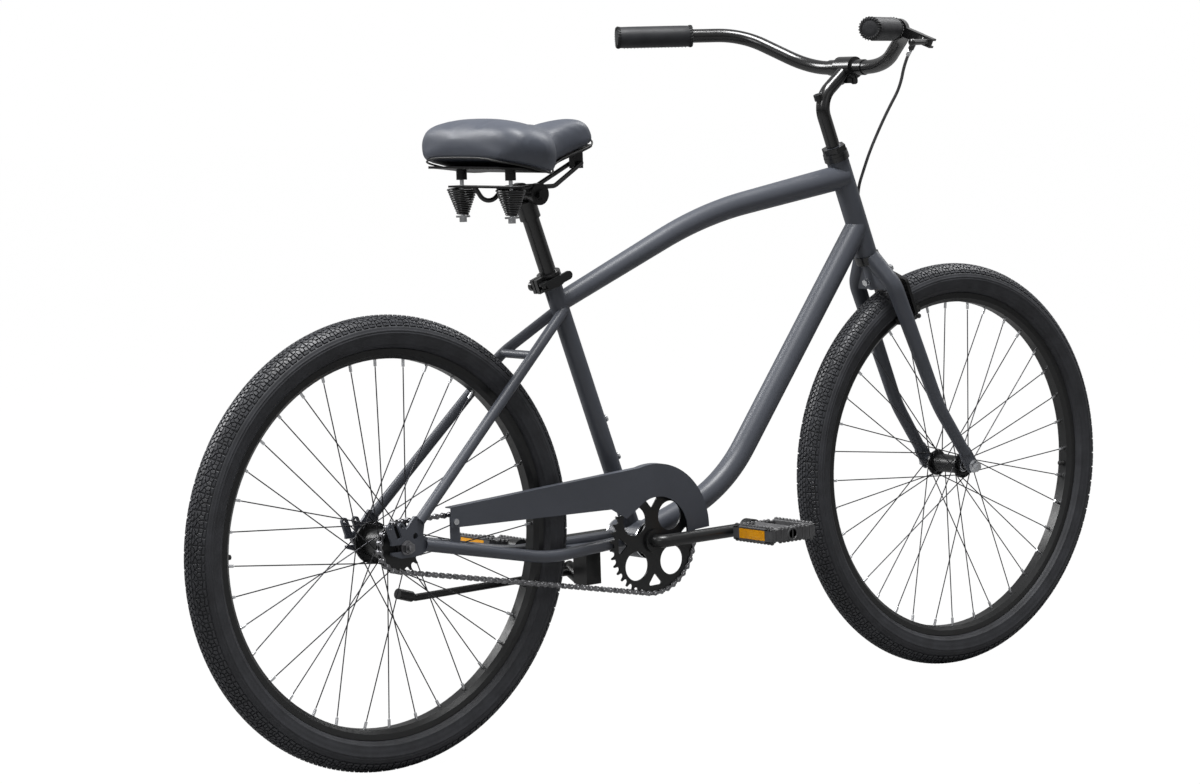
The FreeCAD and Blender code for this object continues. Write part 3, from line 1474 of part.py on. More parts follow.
def make_chain():
    """The chain: inner and outer links in turn along the rollers' places."""
    places, _, _ = chain_plan()
    templates = (link_plates(True), link_plates(False))
    links = []
    for number, place in enumerate(places):
        after = places[(number + 1) % len(places)]
        along = after - place
        link = templates[number % 2].copy()
        angle = math.degrees(math.atan2(along.z, along.x))
        link.rotate(V(0, 0, 0), across, -angle)
        half_pitch = chain_pitch / 2
        heading = math.radians(angle)
        middle = V(half_pitch * math.cos(heading), 0, half_pitch * math.sin(heading))
        link.translate((place + after) * 0.5 - middle)
        links.append(link)
    print("chain links", len(links))
    return links


def toothed_disc(centre, teeth, phase):
    """A flat sprocket disc: a round seat for each roller and a short tooth between."""
    radius = pitch_radius(teeth)
    seat = roller_radius + tooth_seat_gap
    step = 2 * math.pi / teeth
    spread = math.radians(tooth_seat_angle)
    y = -chain_line - tooth_thickness / 2
    edges = []
    last = None
    first = None
    for number in range(teeth):
        angle = phase + number * step
        gap = V(centre.x + radius * math.cos(angle), y, centre.z + radius * math.sin(angle))

        def seat_point(turn):
            heading = angle + math.pi + turn
            return gap + V(seat * math.cos(heading), 0, seat * math.sin(heading))

        def tip_point(share):
            tip = radius + tooth_height
            place = angle + share * step
            return V(centre.x + tip * math.cos(place), y, centre.z + tip * math.sin(place))

        start = tip_point(-0.5 + tooth_tip_share)
        if last is None:
            first = start
        else:
            edges.append(Part.LineSegment(last, start).toShape())
        entry = seat_point(spread)
        leave = seat_point(-spread)
        edges.append(Part.LineSegment(start, entry).toShape())
        edges.append(Part.Arc(entry, seat_point(0), leave).toShape())
        last = tip_point(0.5 - tooth_tip_share)
        edges.append(Part.LineSegment(leave, last).toShape())
    edges.append(Part.LineSegment(last, first).toShape())
    return Part.Face(Part.Wire(edges)).extrude(V(0, tooth_thickness, 0))


def make_chainring():
    """The chainring, with four large round holes and four rounded windows between them."""
    _, phase, _ = chain_plan()
    disc = toothed_disc(crank_centre, ring_teeth, phase)
    reach = V(0, 2 * chain_line, 0)
    cuts = [rod(crank_centre - reach, crank_centre, crank_bar_radius + fit_clearance)]
    for number in range(4):
        turn = math.radians(45 + 90 * number + crank_angle)
        place = crank_centre + V(math.cos(turn), 0, math.sin(turn)) * ring_hole_circle
        cuts.append(rod(place - reach, place, ring_hole_radius))
        turn = math.radians(90 * number + crank_angle)
        outward = V(math.cos(turn), 0, math.sin(turn))
        cuts.append(ring_window(outward, reach))
    return disc.cut(cuts)


def ring_window(outward, reach):
    """A three-cornered window in the chainring, its base towards the rim."""
    side = V(-outward.z, 0, outward.x) * ring_window_half
    tip = crank_centre + outward * ring_window_inner - reach
    base = crank_centre + outward * ring_window_outer - reach
    corners = [tip, base - side, base + side]
    window = Part.Face(Part.makePolygon(corners + corners[:1])).extrude(reach)
    uprights = [edge for edge in window.Edges if abs(edge.tangentAt(edge.FirstParameter).y) > 0.9]
    return window.makeFillet(ring_window_corner, uprights)


def make_sprocket():
    """The rear sprocket on its driver's boss, running on the right cone."""
    _, _, phase = chain_plan()
    disc = toothed_disc(rear_axle_centre, sprocket_teeth, phase)
    inner = rear_axle_centre - across * (rear_flange_spacing / 2 + 2 * flange_thickness + running_gap)
    outer = rear_axle_centre - across * (chain_line + tooth_thickness / 2)
    boss = rod(inner, outer, sprocket_boss_radius)
    bore = rod(rear_axle_centre, outer - across, cone_radius + running_gap)
    return join([disc, boss]).cut(bore)


def crank_eye_at(side):
    """The middle of one pedal eye: side -1 is the right arm, which points forward."""
    turn = math.radians(crank_angle)
    arm = V(math.cos(turn), 0, math.sin(turn)) * (-side * crank_length)
    return crank_centre + arm + across * (side * crank_eye)


def make_crank():
    """The one-piece crank: right arm, spindle and left arm in one bent bar with a pedal eye at each end."""
    points = [crank_eye_at(-1), crank_centre - across * crank_knee]
    points += [crank_centre + across * crank_knee, crank_eye_at(1)]
    bar = bent_rod(points, [crank_bend, crank_bend], crank_bar_radius)
    eyes = []
    bores = []
    half = across * (crank_eye_width / 2)
    for side in (-1, 1):
        place = crank_eye_at(side)
        eyes.append(rod(place - half, place + half, crank_eye_radius))
        bores.append(rod(place - half * 3, place + half * 3, pedal_spindle_radius + fit_clearance))
    return join([bar] + eyes).cut(bores)


def make_crank_fittings():
    """The two cones and lock pieces on the spindle, and the pedal spindles screwed into the eyes."""
    cone = bracket_cup_bore - bracket_cone_gap
    shaft = crank_bar_radius + fit_clearance
    start = shell_width / 2 - bracket_cup_insert / 2
    ring_face = chain_line - tooth_thickness / 2
    ring_back = chain_line + tooth_thickness / 2

    def at(y):
        return crank_centre + across * y

    shapes = [pipe(at(-start), at(-ring_face), cone, shaft)]
    shapes.append(pipe(at(-ring_back), at(-ring_back - bracket_lock_height), cone, shaft))
    shapes.append(pipe(at(start), at(ring_face - bracket_lock_height), cone, shaft))
    lock = hexagon(at(ring_face - bracket_lock_height), at(ring_face), cone)
    shapes.append(lock.cut(rod(at(0), at(ring_back), shaft)))
    for side in (-1, 1):
        place = crank_eye_at(side)
        inner = place - across * (side * crank_eye_width / 2)
        reach = crank_eye_width / 2 + pedal_gap + pedal_width - pedal_cap - running_gap
        outer = place + across * (side * reach)
        shapes.append(rod(inner, outer, pedal_spindle_radius))
    return shapes


def pedal_block(side, size, centre_shift):
    """A box in a pedal's own frame: size along X, Y and Z, centred on the pedal and then shifted."""
    middle = crank_eye_at(side) + across * (side * (crank_eye_width / 2 + pedal_gap + pedal_width / 2))
    return block(middle + centre_shift - size * 0.5, middle + centre_shift + size * 0.5)


def make_pedal(side):
    """A platform pedal: rails, end walls and a barrel on its spindle."""
    body = pedal_block(side, V(pedal_length, pedal_width, pedal_height), V(0, 0, 0))
    window = V(pedal_length - 2 * pedal_rail, pedal_width - 2 * pedal_wall, 2 * pedal_height)
    hollow = body.cut(pedal_block(side, window, V(0, 0, 0)))
    inner = crank_eye_at(side) + across * (side * (crank_eye_width / 2 + pedal_gap))
    barrel = rod(inner, inner + across * (side * pedal_width), pedal_barrel_radius)
    bore_end = inner + across * (side * (pedal_width - pedal_cap))
    bore = rod(inner, bore_end, pedal_spindle_radius + fit_clearance)
    pedal = join([hollow, barrel]).cut([bore] + level_reflectors(side))
    return pitched(side, pedal)


def pitched(side, shape):
    """A pedal's shape turned about its spindle to the way it hangs at rest: the right one is level."""
    turned = shape.copy()
    turned.rotate(crank_eye_at(side), across, left_pedal_pitch if side > 0 else 0)
    return turned


def make_reflectors(side):
    """A pedal's two amber reflectors, turned with it."""
    return [pitched(side, reflector) for reflector in level_reflectors(side)]


def level_reflectors(side):
    """The two amber reflectors set into the front and back of a level pedal."""
    size = V(reflector_thickness, reflector_width, reflector_height)
    reach = V((pedal_length - reflector_thickness) / 2, 0, 0)
    return [pedal_block(side, size, reach), pedal_block(side, size, reach * -1)]


# Seat

saddle_bolt = V(saddle_bolt_x, 0, saddle_bolt_height)
spring_plate_low = spring_foot_height + spring_height
post_top = seat_at(post_top_height)


def make_post():
    """The seat post, a plain tube."""
    low = seat_tube_top - seat_direction * post_insert
    return pipe(low, post_top, post_radius, post_radius - post_wall)


def make_saddle_clamp():
    """The clamp on the post's top with its cross boss, and the bolt and nuts through the rail discs."""
    low = post_top - seat_direction * (clamp_collar_height - clamp_cap)
    high = post_top + seat_direction * clamp_cap
    collar = rod(low, high, post_radius + clamp_collar_wall)
    half = across * clamp_boss_half
    boss = rod(saddle_bolt - half, saddle_bolt + half, clamp_boss_radius)
    bore = rod(low, post_top, post_radius + fit_clearance)
    reach = clamp_boss_half + rail_disc_thickness + 2 * running_gap
    end = across * (reach + rail_nut_height)
    hole = rod(saddle_bolt - end, saddle_bolt + end, saddle_bolt_radius + fit_clearance)
    nuts = []
    for side in (1, -1):
        start = saddle_bolt + across * (side * reach)
        nuts.append(hexagon(start, start + across * (side * rail_nut_height), 2 * saddle_bolt_radius))
    bolt = join([rod(saddle_bolt - end, saddle_bolt + end, saddle_bolt_radius)] + nuts)
    return [join([collar, boss]).cut([bore, hole]), bolt]


def rail_route(side):
    """One rail's line from the nose bar through the clamp, down and up again to the spring plate."""
    height = saddle_bolt_height + rail_rise
    gauge = side * rail_half_gauge
    end_gauge = side * rail_end_half_gauge
    points = [V(nose_bar_x, side * nose_bar_half, nose_bar_height), V(rail_front_x, gauge, height)]
    points += [V(rail_rear_x, gauge, height), V(rail_dip_x, (gauge + end_gauge) / 2, rail_dip_height)]
    return points + [V(spring_x, end_gauge, spring_plate_low + spring_plate_thickness / 2)]


def spring_places():
    """The feet of the two springs' axes."""
    return [V(spring_x, side * spring_half_gauge, spring_foot_height) for side in (1, -1)]


def make_rails():
    """The bent wire rails with their nose bar, the two clamp discs, and the plate over the springs."""
    bends = [rail_bend] * 3
    wires = [bent_rod(rail_route(side), bends, rail_radius) for side in (1, -1)]
    nose = V(nose_bar_x, 0, nose_bar_height)
    half = across * nose_bar_half
    bar = rod(nose - half, nose + half, nose_bar_radius)
    low = V(spring_x - spring_plate_half, -spring_plate_half_width, spring_plate_low)
    plate_top = spring_plate_low + spring_plate_thickness
    slab = block(low, V(spring_x + spring_plate_half, spring_plate_half_width, plate_top))
    slots = []
    for place in spring_places():
        start = place + upward * (spring_height - spring_plate_thickness)
        through = upward * (3 * spring_plate_thickness)
        slot = spring_bolt_radius + 2 * hole_clearance
        slots.append(capsule(start, start + V(spring_bolt_slot, 0, 0), slot, through))
    discs = []
    for side in (1, -1):
        start = saddle_bolt + across * (side * (clamp_boss_half + running_gap))
        disc = rod(start, start + across * (side * rail_disc_thickness), rail_disc_radius)
        hole = rod(start, start + across * (side * rail_disc_thickness), saddle_bolt_radius + fit_clearance)
        discs.append(disc.cut([hole] + wires))
    return [join(wires + [bar]).cut(slab), slab.cut(slots)] + discs


def arc_from(start, heading, end):
    """The arc that leaves a point along a heading and ends at another point."""
    chord = end - start
    along = unit(chord)
    side = unit(heading - along * heading.dot(along))
    bulge = chord.Length / 2 * math.tan(heading.getAngle(along) / 2)
    return Part.Arc(start, start + chord * 0.5 + side * bulge, end).toShape()


def biarc(start, heading, end, arrival):
    """Two arcs that join two points along given headings."""
    chord = end - start
    both = heading + arrival
    spread = 2 * (1 - heading.dot(arrival))
    reach = (-chord.dot(both) + math.sqrt(chord.dot(both) ** 2 + spread * chord.dot(chord))) / spread
    middle = (start + end + (heading - arrival) * reach) * 0.5
    first = arc_from(start, heading, middle)
    second = arc_from(end, arrival * -1, middle)
    second_middle = second.valueAt((second.FirstParameter + second.LastParameter) / 2)
    reversed_second = Part.Arc(middle, second_middle, end)
    return [first, reversed_second.toShape()]


def spring_point(place, turn):
    """A point of a conical spring's centre line after some turns, and its heading there."""
    share = turn / spring_turns
    grow = spring_top_radius - spring_bottom_radius
    radius = spring_bottom_radius + grow * share
    lift = spring_height - 2 * spring_wire_radius - 2 * running_gap
    angle = 2 * math.pi * turn
    low = place.z + spring_wire_radius + running_gap
    point = V(place.x + radius * math.cos(angle), place.y + radius * math.sin(angle), low + lift * share)
    sweep = 2 * math.pi * spring_turns
    heading = V(grow * math.cos(angle) - radius * sweep * math.sin(angle),
                grow * math.sin(angle) + radius * sweep * math.cos(angle), lift)
    return point, unit(heading)


def make_spring(place):
    """One conical coil spring with a straight end at top and bottom."""
    edges = []
    start, heading = spring_point(place, 0)
    tail = start - V(heading.x, heading.y, 0).normalize() * (2 * spring_wire_radius)
    head = unit(start - tail)
    edges.append(Part.LineSegment(tail, start).toShape())
    for quarter in range(4 * spring_turns):
        point, direction = spring_point(place, quarter / 4)
        after, arrival = spring_point(place, (quarter + 1) / 4)
        if quarter == 0:
            direction = head
        if quarter == 4 * spring_turns - 1:
            arrival = unit(V(arrival.x, arrival.y, 0))
        edges += biarc(point, direction, after, arrival)
    end = after + arrival * (2 * spring_wire_radius)
    edges.append(Part.LineSegment(after, end).toShape())
    section = Part.Wire(Part.makeCircle(spring_wire_radius, tail, head))
    return Part.Wire(edges).makePipeShell([section], True, False)


def spring_self_gap():
    """The least gap between a spring's neighbouring turns, measured on points."""
    place = spring_places()[0]
    steps = 24
    points = [spring_point(place, number / steps)[0] for number in range(steps * spring_turns + 1)]
    gaps = []
    for number, point in enumerate(points):
        for other in points[number + steps // 2:]:
            gaps.append(point.distanceToPoint(other) - 2 * spring_wire_radius)
    return min(gaps)


saddle_stations = [
    # distance behind the nose, half width, base above the saddle's base height, top below the saddle's top
    (4.0, 13.0, 26.0, 24.0),
    (18.0, 23.0, 22.0, 9.0),
    (45.0, 29.0, 15.0, 4.0),
    (80.0, 36.0, 6.0, 8.0),
    (108.0, 52.0, -2.0, 13.0),
    (134.0, 92.0, -7.0, 13.0),
    (165.0, 122.0, -6.0, 7.0),
    (195.0, 130.0, -2.0, 1.0),
    (222.0, 126.0, 1.0, 0.0),
    (240.0, 108.0, 3.0, 8.0),
]


def saddle_section(station):
    """One cross section of the saddle: a flat base, two drawn-in sides and a crowned top."""
    back, half_width, base_rise, top_drop = station
    x = saddle_nose_x - back * saddle_length / saddle_reference_length
    half = half_width * saddle_half_width / saddle_reference_half_width
    base = saddle_base_height + base_rise
    top = saddle_base_height + saddle_thickness - top_drop
    waist = base + (top - base) * 0.42
    shoulder = base + (top - base) * 0.78
    foot = half * 0.84
    edge = half * 0.9
    right = Part.Arc(V(x, foot, base), V(x, half, waist), V(x, edge, shoulder)).toShape()
    crown = Part.Arc(V(x, edge, shoulder), V(x, 0, top), V(x, -edge, shoulder)).toShape()
    left = Part.Arc(V(x, -edge, shoulder), V(x, -half, waist), V(x, -foot, base)).toShape()
    floor = Part.LineSegment(V(x, -foot, base), V(x, foot, base)).toShape()
    return Part.Wire([right, crown, left, floor])


def make_saddle_cover():
    """The padded saddle, broad behind with a drawn-in waist and a narrow nose."""
    return Part.makeLoft([saddle_section(station) for station in saddle_stations], True, False)


def pan_section(station):
    """One cross section of the pan under the saddle."""
    back, half_width, base_rise, _ = station
    x = saddle_nose_x - back * saddle_length / saddle_reference_length
    half = half_width * saddle_half_width / saddle_reference_half_width * pan_share
    top = saddle_base_height + base_rise - pan_gap
    low = top - pan_thickness
    corners = [V(x, half, low), V(x, half, top), V(x, -half, top), V(x, -half, low)]
    return Part.makePolygon(corners + corners[:1])


def make_pan():
    """The pan with its nose lug and bolt stems, and the two bolts that pull on the springs' feet."""
    shell = Part.makeLoft([pan_section(station) for station in saddle_stations], True, False)
    nose = V(nose_bar_x, 0, nose_bar_height)
    size = V(nose_lug_half, nose_lug_width, nose_lug_half)
    lug_top = V(nose.x + nose_lug_half, nose_lug_width, saddle_base_height + nose_lug_rise)
    lug = block(nose - size, lug_top)
    pieces = [shell, lug]
    bolts = []
    for place in spring_places():
        stem_low = place + upward * (spring_height + spring_stem_rise)
        stem_top = place + upward * (saddle_base_height - spring_foot_height - pan_thickness)
        pieces.append(rod(stem_low, stem_top, spring_stem_radius))
        nut_top = place - upward * spring_seat_thickness
        nut_low = nut_top - upward * spring_nut_height
        shank = rod(nut_low, stem_low, spring_bolt_radius)
        washer = rod(nut_top, place, spring_seat_radius)
        bolts.append(join([shank, washer, hexagon(nut_low, nut_top, spring_nut_radius)]))
    far = across * (2 * nose_lug_width)
    bore = rod(nose - far, nose + far, nose_bar_radius + fit_clearance)
    pan = join(pieces).cut([bore, make_saddle_cover()]).Solids
    return [max(pan, key=lambda solid: solid.Volume)] + bolts


# Kickstand

kickstand_pivot = V(kickstand_pivot_x, kickstand_pivot_side, kickstand_pivot_height)
folded_direction = unit(V(*kickstand_folded))
kickstand_axis = unit(V(*kickstand_deployed).cross(folded_direction))


def make_kickstand_bracket():
    """The bracket under the bridge plate, with the kickstand's pin."""
    half = kickstand_block_length / 2
    low = V(kickstand_pivot_x - half, -kickstand_block_right, kickstand_block_bottom)
    body = block(low, V(kickstand_pivot_x + half, kickstand_block_left, bridge_plate_height))
    stays = [bent_rod(chainstay_route(side), [stay_bend], chainstay_radius) for side in (1, -1)]
    face = kickstand_pivot - kickstand_axis * (kickstand_hub_half + running_gap)
    boss = rod(face - kickstand_axis * (2 * kickstand_hub_half), face, kickstand_hub_radius)
    outside = kickstand_pivot + kickstand_axis * (kickstand_hub_half + running_gap)
    space = rod(face, outside, kickstand_hub_radius + kickstand_radius)
    pin = rod(face, outside, kickstand_pin_radius)
    head = rod(outside, outside + kickstand_axis * kickstand_pin_radius, kickstand_hub_radius - running_gap)
    return [join([join([body, boss]).cut(stays + [space]), pin, head])]


def make_kickstand_leg():
    """The folded leg with its hub on the pin, and its rubber foot bent up at the end."""
    reach = kickstand_axis * kickstand_hub_half
    hub = rod(kickstand_pivot - reach, kickstand_pivot + reach, kickstand_hub_radius)
    end = kickstand_pivot + folded_direction * (kickstand_length - kickstand_foot_length)
    rise = unit(folded_direction.cross(kickstand_axis))
    if rise.z < 0:
        rise = rise * -1
    toe = end + folded_direction * kickstand_foot_length + rise * kickstand_foot_rise
    bar = rod(kickstand_pivot, end, kickstand_radius)
    along = unit(toe - end)
    toe_bar = rod(end, toe - along * kickstand_radius, kickstand_radius)
    elbow = Part.makeSphere(kickstand_radius, end)
    hole = rod(kickstand_pivot - reach, kickstand_pivot + reach, kickstand_pin_radius + fit_clearance)
    leg = join([bar, toe_bar, elbow, hub]).cut(hole)
    cap_start = end + along * kickstand_foot_radius
    cap = rod(cap_start, toe, kickstand_foot_radius)
    return [leg, cap.cut(rod(end, toe - along * kickstand_radius, kickstand_radius + fit_clearance))]


# Nodes

save("head_tube", [make_head_tube()])
save("top_tube", [make_top_tube()])
save("down_tube", [make_down_tube()])
save("seat_tube", [make_seat_tube()])
save("bottom_bracket_shell", [make_shell()])
save("chainstays", [make_chainstay(side) for side in (1, -1)])
save("seatstays", [make_seatstay(side) for side in (1, -1)])
save("rear_dropouts", [make_dropout(side) for side in (1, -1)])
save("stay_bridges", make_bridges())
low_cup = make_headset_cup(head_bottom, steer_direction * -1)
save("headset_cups", low_cup + make_headset_cup(head_top, steer_direction))
save("bottom_bracket_cups", make_bracket_cup(1) + make_bracket_cup(-1))
save("seat_clamp", make_seat_clamp())
save("seat_clamp_lever", [make_cam_lever()])
save("chainguard", make_chainguard())
save("frame_screws", make_frame_screws())
save("reaction_arm", make_reaction_arm())
save("fork_steerer", [make_steerer()])
save("fork_legs", [make_leg(side) for side in (1, -1)])
save("fork_tips", [make_fork_tip(side) for side in (1, -1)])
save("headset_races", make_races())
save("stem", [make_stem()])
save("fork_bolts", make_fork_bolts())
save("handlebar", [make_handlebar()])
save("grips", [make_grip(side) for side in (1, -1)])
save("brake_perch", [make_perch()])
save("brake_lever", [make_lever()])
save("brake_cable", make_cable())
for side, name in ((1, "left"), (-1, "right")):
    save("caliper_arm_" + name, [make_caliper_arm(side)])
    save("brake_pad_" + name, make_pad(side))
    save("pedal_" + name, [make_pedal(side)])
    save("pedal_reflectors_" + name, make_reflectors(side))
save("front_axle", make_axle(front_axle_centre, front_hub_length, front_flange_spacing, fork_tip_thickness,
                             axle_tail_right, axle_tail_right))
save("rear_axle", make_axle(rear_axle_centre, rear_hub_length, rear_flange_spacing, dropout_thickness,
                            axle_tail_left, axle_tail_right))
for name, centre, valve, flange, spacing, barrel in (
    ("front", front_axle_centre, valve_angle_front, front_flange_radius, front_flange_spacing,
     front_barrel_radius),
    ("rear", rear_axle_centre, valve_angle_rear, rear_flange_radius, rear_flange_spacing, rear_barrel_radius),
):
    save(name + "_tyre", [make_tyre(centre)])
    save(name + "_inner_tube", [make_inner_tube(centre, valve)])
    save(name + "_rim", [make_rim(centre, valve)])
    save(name + "_spokes", make_spokes(centre, flange, spacing))
    save(name + "_hub", [make_hub(centre, flange, spacing, barrel)])
save("rear_sprocket", [make_sprocket()])
save("chainring", [make_chainring()])
save("crank", [make_crank()])
save("crank_fittings", make_crank_fittings())
save("chain", make_chain())
save("seatpost", [make_post()])
save("saddle_clamp", make_saddle_clamp())
save("saddle_rails", make_rails())
save("saddle_springs", [make_spring(place) for place in spring_places()])
print("spring self gap", round(spring_self_gap(), 2))
save("saddle_pan", make_pan())
save("saddle_cover", [make_saddle_cover()])
save("kickstand_bracket", make_kickstand_bracket())
save("kickstand_leg", make_kickstand_leg())
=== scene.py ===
import json
import math

import bmesh
import bpy
from bpy.props import FloatProperty, FloatVectorProperty, IntProperty, PointerProperty
from mathutils import Matrix, Vector


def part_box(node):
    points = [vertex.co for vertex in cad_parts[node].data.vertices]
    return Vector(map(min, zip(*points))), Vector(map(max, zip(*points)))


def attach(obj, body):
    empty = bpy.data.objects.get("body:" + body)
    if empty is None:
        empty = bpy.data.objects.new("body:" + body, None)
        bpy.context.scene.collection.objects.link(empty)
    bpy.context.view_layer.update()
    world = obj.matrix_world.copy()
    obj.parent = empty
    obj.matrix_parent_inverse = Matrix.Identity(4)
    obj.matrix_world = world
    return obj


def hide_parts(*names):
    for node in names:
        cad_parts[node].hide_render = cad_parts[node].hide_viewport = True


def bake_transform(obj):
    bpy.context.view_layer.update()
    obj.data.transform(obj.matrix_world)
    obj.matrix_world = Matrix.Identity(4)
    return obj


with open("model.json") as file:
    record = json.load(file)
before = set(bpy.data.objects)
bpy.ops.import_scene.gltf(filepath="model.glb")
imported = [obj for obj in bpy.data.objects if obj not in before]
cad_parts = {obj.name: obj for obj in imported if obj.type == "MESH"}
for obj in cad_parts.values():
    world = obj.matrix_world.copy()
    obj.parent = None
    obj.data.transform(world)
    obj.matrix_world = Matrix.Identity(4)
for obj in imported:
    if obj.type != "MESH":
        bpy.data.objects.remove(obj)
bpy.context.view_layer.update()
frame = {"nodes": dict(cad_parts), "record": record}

bl_info = {
    "name": "Beach cruiser bicycle",
    "version": (1, 0, 0),
    "blender": (4, 5, 0),
    "location": "3D View > Sidebar > Cruiser",
    "description": "Dresses the beach cruiser bicycle: tyres, saddle, springs, grips, cable and finishes",
    "category": "Object",
}

MILLIMETRE = 0.001
UP = Vector((0, 0, 1))
ACROSS = Vector((0, 1, 0))


# Property groups

def colour(name, value, description):
    """A colour that a user can change."""
    return FloatVectorProperty(name=name, description=description, subtype="COLOR", size=4, min=0, max=1,
                               default=(*value, 1))


def length(name, millimetres, description):
    """A length that a user can change, stored in metres."""
    return FloatProperty(name=name, description=description, unit="LENGTH", default=millimetres * MILLIMETRE)


def count(name, number, description):
    """A whole number that a user can change."""
    return IntProperty(name=name, description=description, default=number, min=3)


class CruiserColours(bpy.types.PropertyGroup):
    """The bicycle's finishes."""
    frame_paint: colour("Frame paint", (0.066, 0.072, 0.088), "Matte charcoal of frame, fork and chainguard")
    gloss_black: colour("Gloss black", (0.007, 0.007, 0.0075), "Bar, stem, seat post, headset and brake")
    satin_black: colour("Satin black", (0.008, 0.0085, 0.009), "Rims, hubs, crank, chainring and sprocket")
    tyre: colour("Tyre", (0.029, 0.0302, 0.035), "Black rubber of the tyres")
    # the tread colour is a little lighter than the tyre's: a painted highlight on the blocks' tops
    tread: colour("Tread", (0.030, 0.0313, 0.0365), "Rubbed tops of the tread's blocks")
    spoke: colour("Spokes", (0.060, 0.060, 0.065), "Dark wire of the spokes")
    rubber: colour("Rubber", (0.016, 0.016, 0.016), "Air tubes, brake pads and kickstand foot")
    plastic: colour("Plastic", (0.072, 0.072, 0.075), "Pedal bodies and cable casing")
    vinyl: colour("Saddle vinyl", (0.058, 0.0655, 0.085), "Soft grey vinyl of the saddle")
    grip: colour("Grip cover", (0.022, 0.0227, 0.0255), "Wrapped cover of the grips")
    thread: colour("Lacing", (0.006, 0.006, 0.006), "Lacing of the grips and hem of the saddle")
    bright_steel: colour("Bright steel", (0.74, 0.75, 0.77), "Plated bolts, nuts and cable ends")
    dark_steel: colour("Dark steel", (0.24, 0.24, 0.25), "Chain and rear axle")
    amber: colour("Amber", (0.95, 0.34, 0.008), "Pedal reflectors")
    floor: colour("Floor", (0.25, 0.25, 0.25), "Studio floor under the white that the camera sees")


class CruiserTyres(bpy.types.PropertyGroup):
    """The tyres' section and tread."""
    section_radius: length("Section radius", 27.0, "Radius of the tyre's round section")
    centre_radius: length("Centre radius", 307.0, "Radius of the circle that the section follows")
    tread_depth: length("Tread depth", 1.9, "Height of the blocks above the groove floor")
    pitch_count: count("Pitches", 84, "How often the tread pattern repeats round the wheel")
    bead_radius: length("Bead radius", 280.2, "Inner radius of the tyre's beads")
    bead_half_width: length("Bead half width", 12.4, "Half the distance across the beads")
    wall: length("Wall", 3.4, "Thickness of the carcass")
    tube_radius: length("Tube radius", 22.7, "Section radius of the air tube")
    valve_radius: length("Valve radius", 3.9, "Radius of the valve stem")
    valve_length: length("Valve length", 26.0, "Reach of the valve from the tube's inner side")


class CruiserSaddle(bpy.types.PropertyGroup):
    """The saddle's cover and its springs."""
    nose_x: FloatProperty(name="Nose", description="Place of the nose along the bicycle", unit="LENGTH",
                          default=-0.167)
    base_height: length("Base height", 872.0, "Height of the cover's hem at the waist")
    thickness: length("Thickness", 72.0, "Height of the pad at its crown")
    cloth_grid: length("Cloth grid", 4.5, "Spacing of the cover's cloth")
    swell: length("Swell", 3.0, "How far the cloth may be blown out")
    held_band: length("Held band", 10.0, "Height of the band above the hem that is tacked down")
    drawn_in: FloatProperty(name="Drawn in", default=0.6,
                            description="Share of the swell by which the cloth starts smaller")
    pressure: FloatProperty(name="Pressure", description="Pressure inside the cloth", default=4.0)
    cloth_steps: count("Cloth steps", 20, "Steps for which the cloth is blown up")
    settling: count("Settling", 12, "Rounds of smoothing after the cloth is blown up")
    hem: length("Hem", 3.0, "Height of the underside above the lower edge")
    hem_wire: length("Hem wire", 1.6, "Radius of the rolled hem at the lower edge")
    spring_x: FloatProperty(name="Spring place", description="Place of the springs along the bicycle",
                            unit="LENGTH", default=-0.366)
    spring_gauge: length("Spring gauge", 60.0, "Distance of each spring from the middle")
    spring_low: length("Spring foot", 800.8, "Height of the lowest turn's wire centre")
    spring_lift: length("Spring lift", 38.4, "Rise from the lowest to the highest turn")
    spring_wire: length("Spring wire", 1.7, "Radius of the spring wire")
    spring_small: length("Small radius", 7.5, "Radius of the lowest turn")
    spring_large: length("Large radius", 21.8, "Radius of the highest turn")
    spring_turns: count("Spring turns", 11, "Turns of each spring")


class CruiserGrips(bpy.types.PropertyGroup):
    """The wrapped grips and the brake cable."""
    radius: length("Grip radius", 17.5, "Outer radius of the grip")
    grip_length: length("Grip length", 121.0, "Length of the grip along the bar")
    end_cap: length("End cap", 4.0, "How far the closed end stands beyond the bar")
    ring_stitches: count("Ring stitches", 24, "Laces round each edge of the grip")
    seam_stitches: count("Seam stitches", 19, "Laces along the lower seam")
    stitch_radius: length("Lace radius", 0.75, "Radius of the lacing")
    cable_radius: length("Cable radius", 2.5, "Radius of the cable's casing")


class CruiserDrive(bpy.types.PropertyGroup):
    """The chain's links and the sprockets that they run on."""
    pitch: length("Pitch", 12.7, "Distance between the chain's rollers")
    chain_line: length("Chain line", 43.5, "Distance of the chain from the bicycle's middle")
    ring_teeth: count("Ring teeth", 40, "Teeth of the chainring")
    sprocket_teeth: count("Sprocket teeth", 18, "Teeth of the rear sprocket")
    roller_radius: length("Roller radius", 3.9, "Radius of the rollers")
    inner_half: length("Inner half", 1.7, "Half the space between the inner plates")
    plate_thickness: length("Plate", 1.0, "Thickness of a link's plate")
    plate_half: length("Plate half height", 4.2, "Half height of a plate at its rollers")
    plate_waist: length("Plate waist", 1.7, "Half height of a plate at its middle")
    pin_radius: length("Pin radius", 1.8, "Radius of the links' pins")


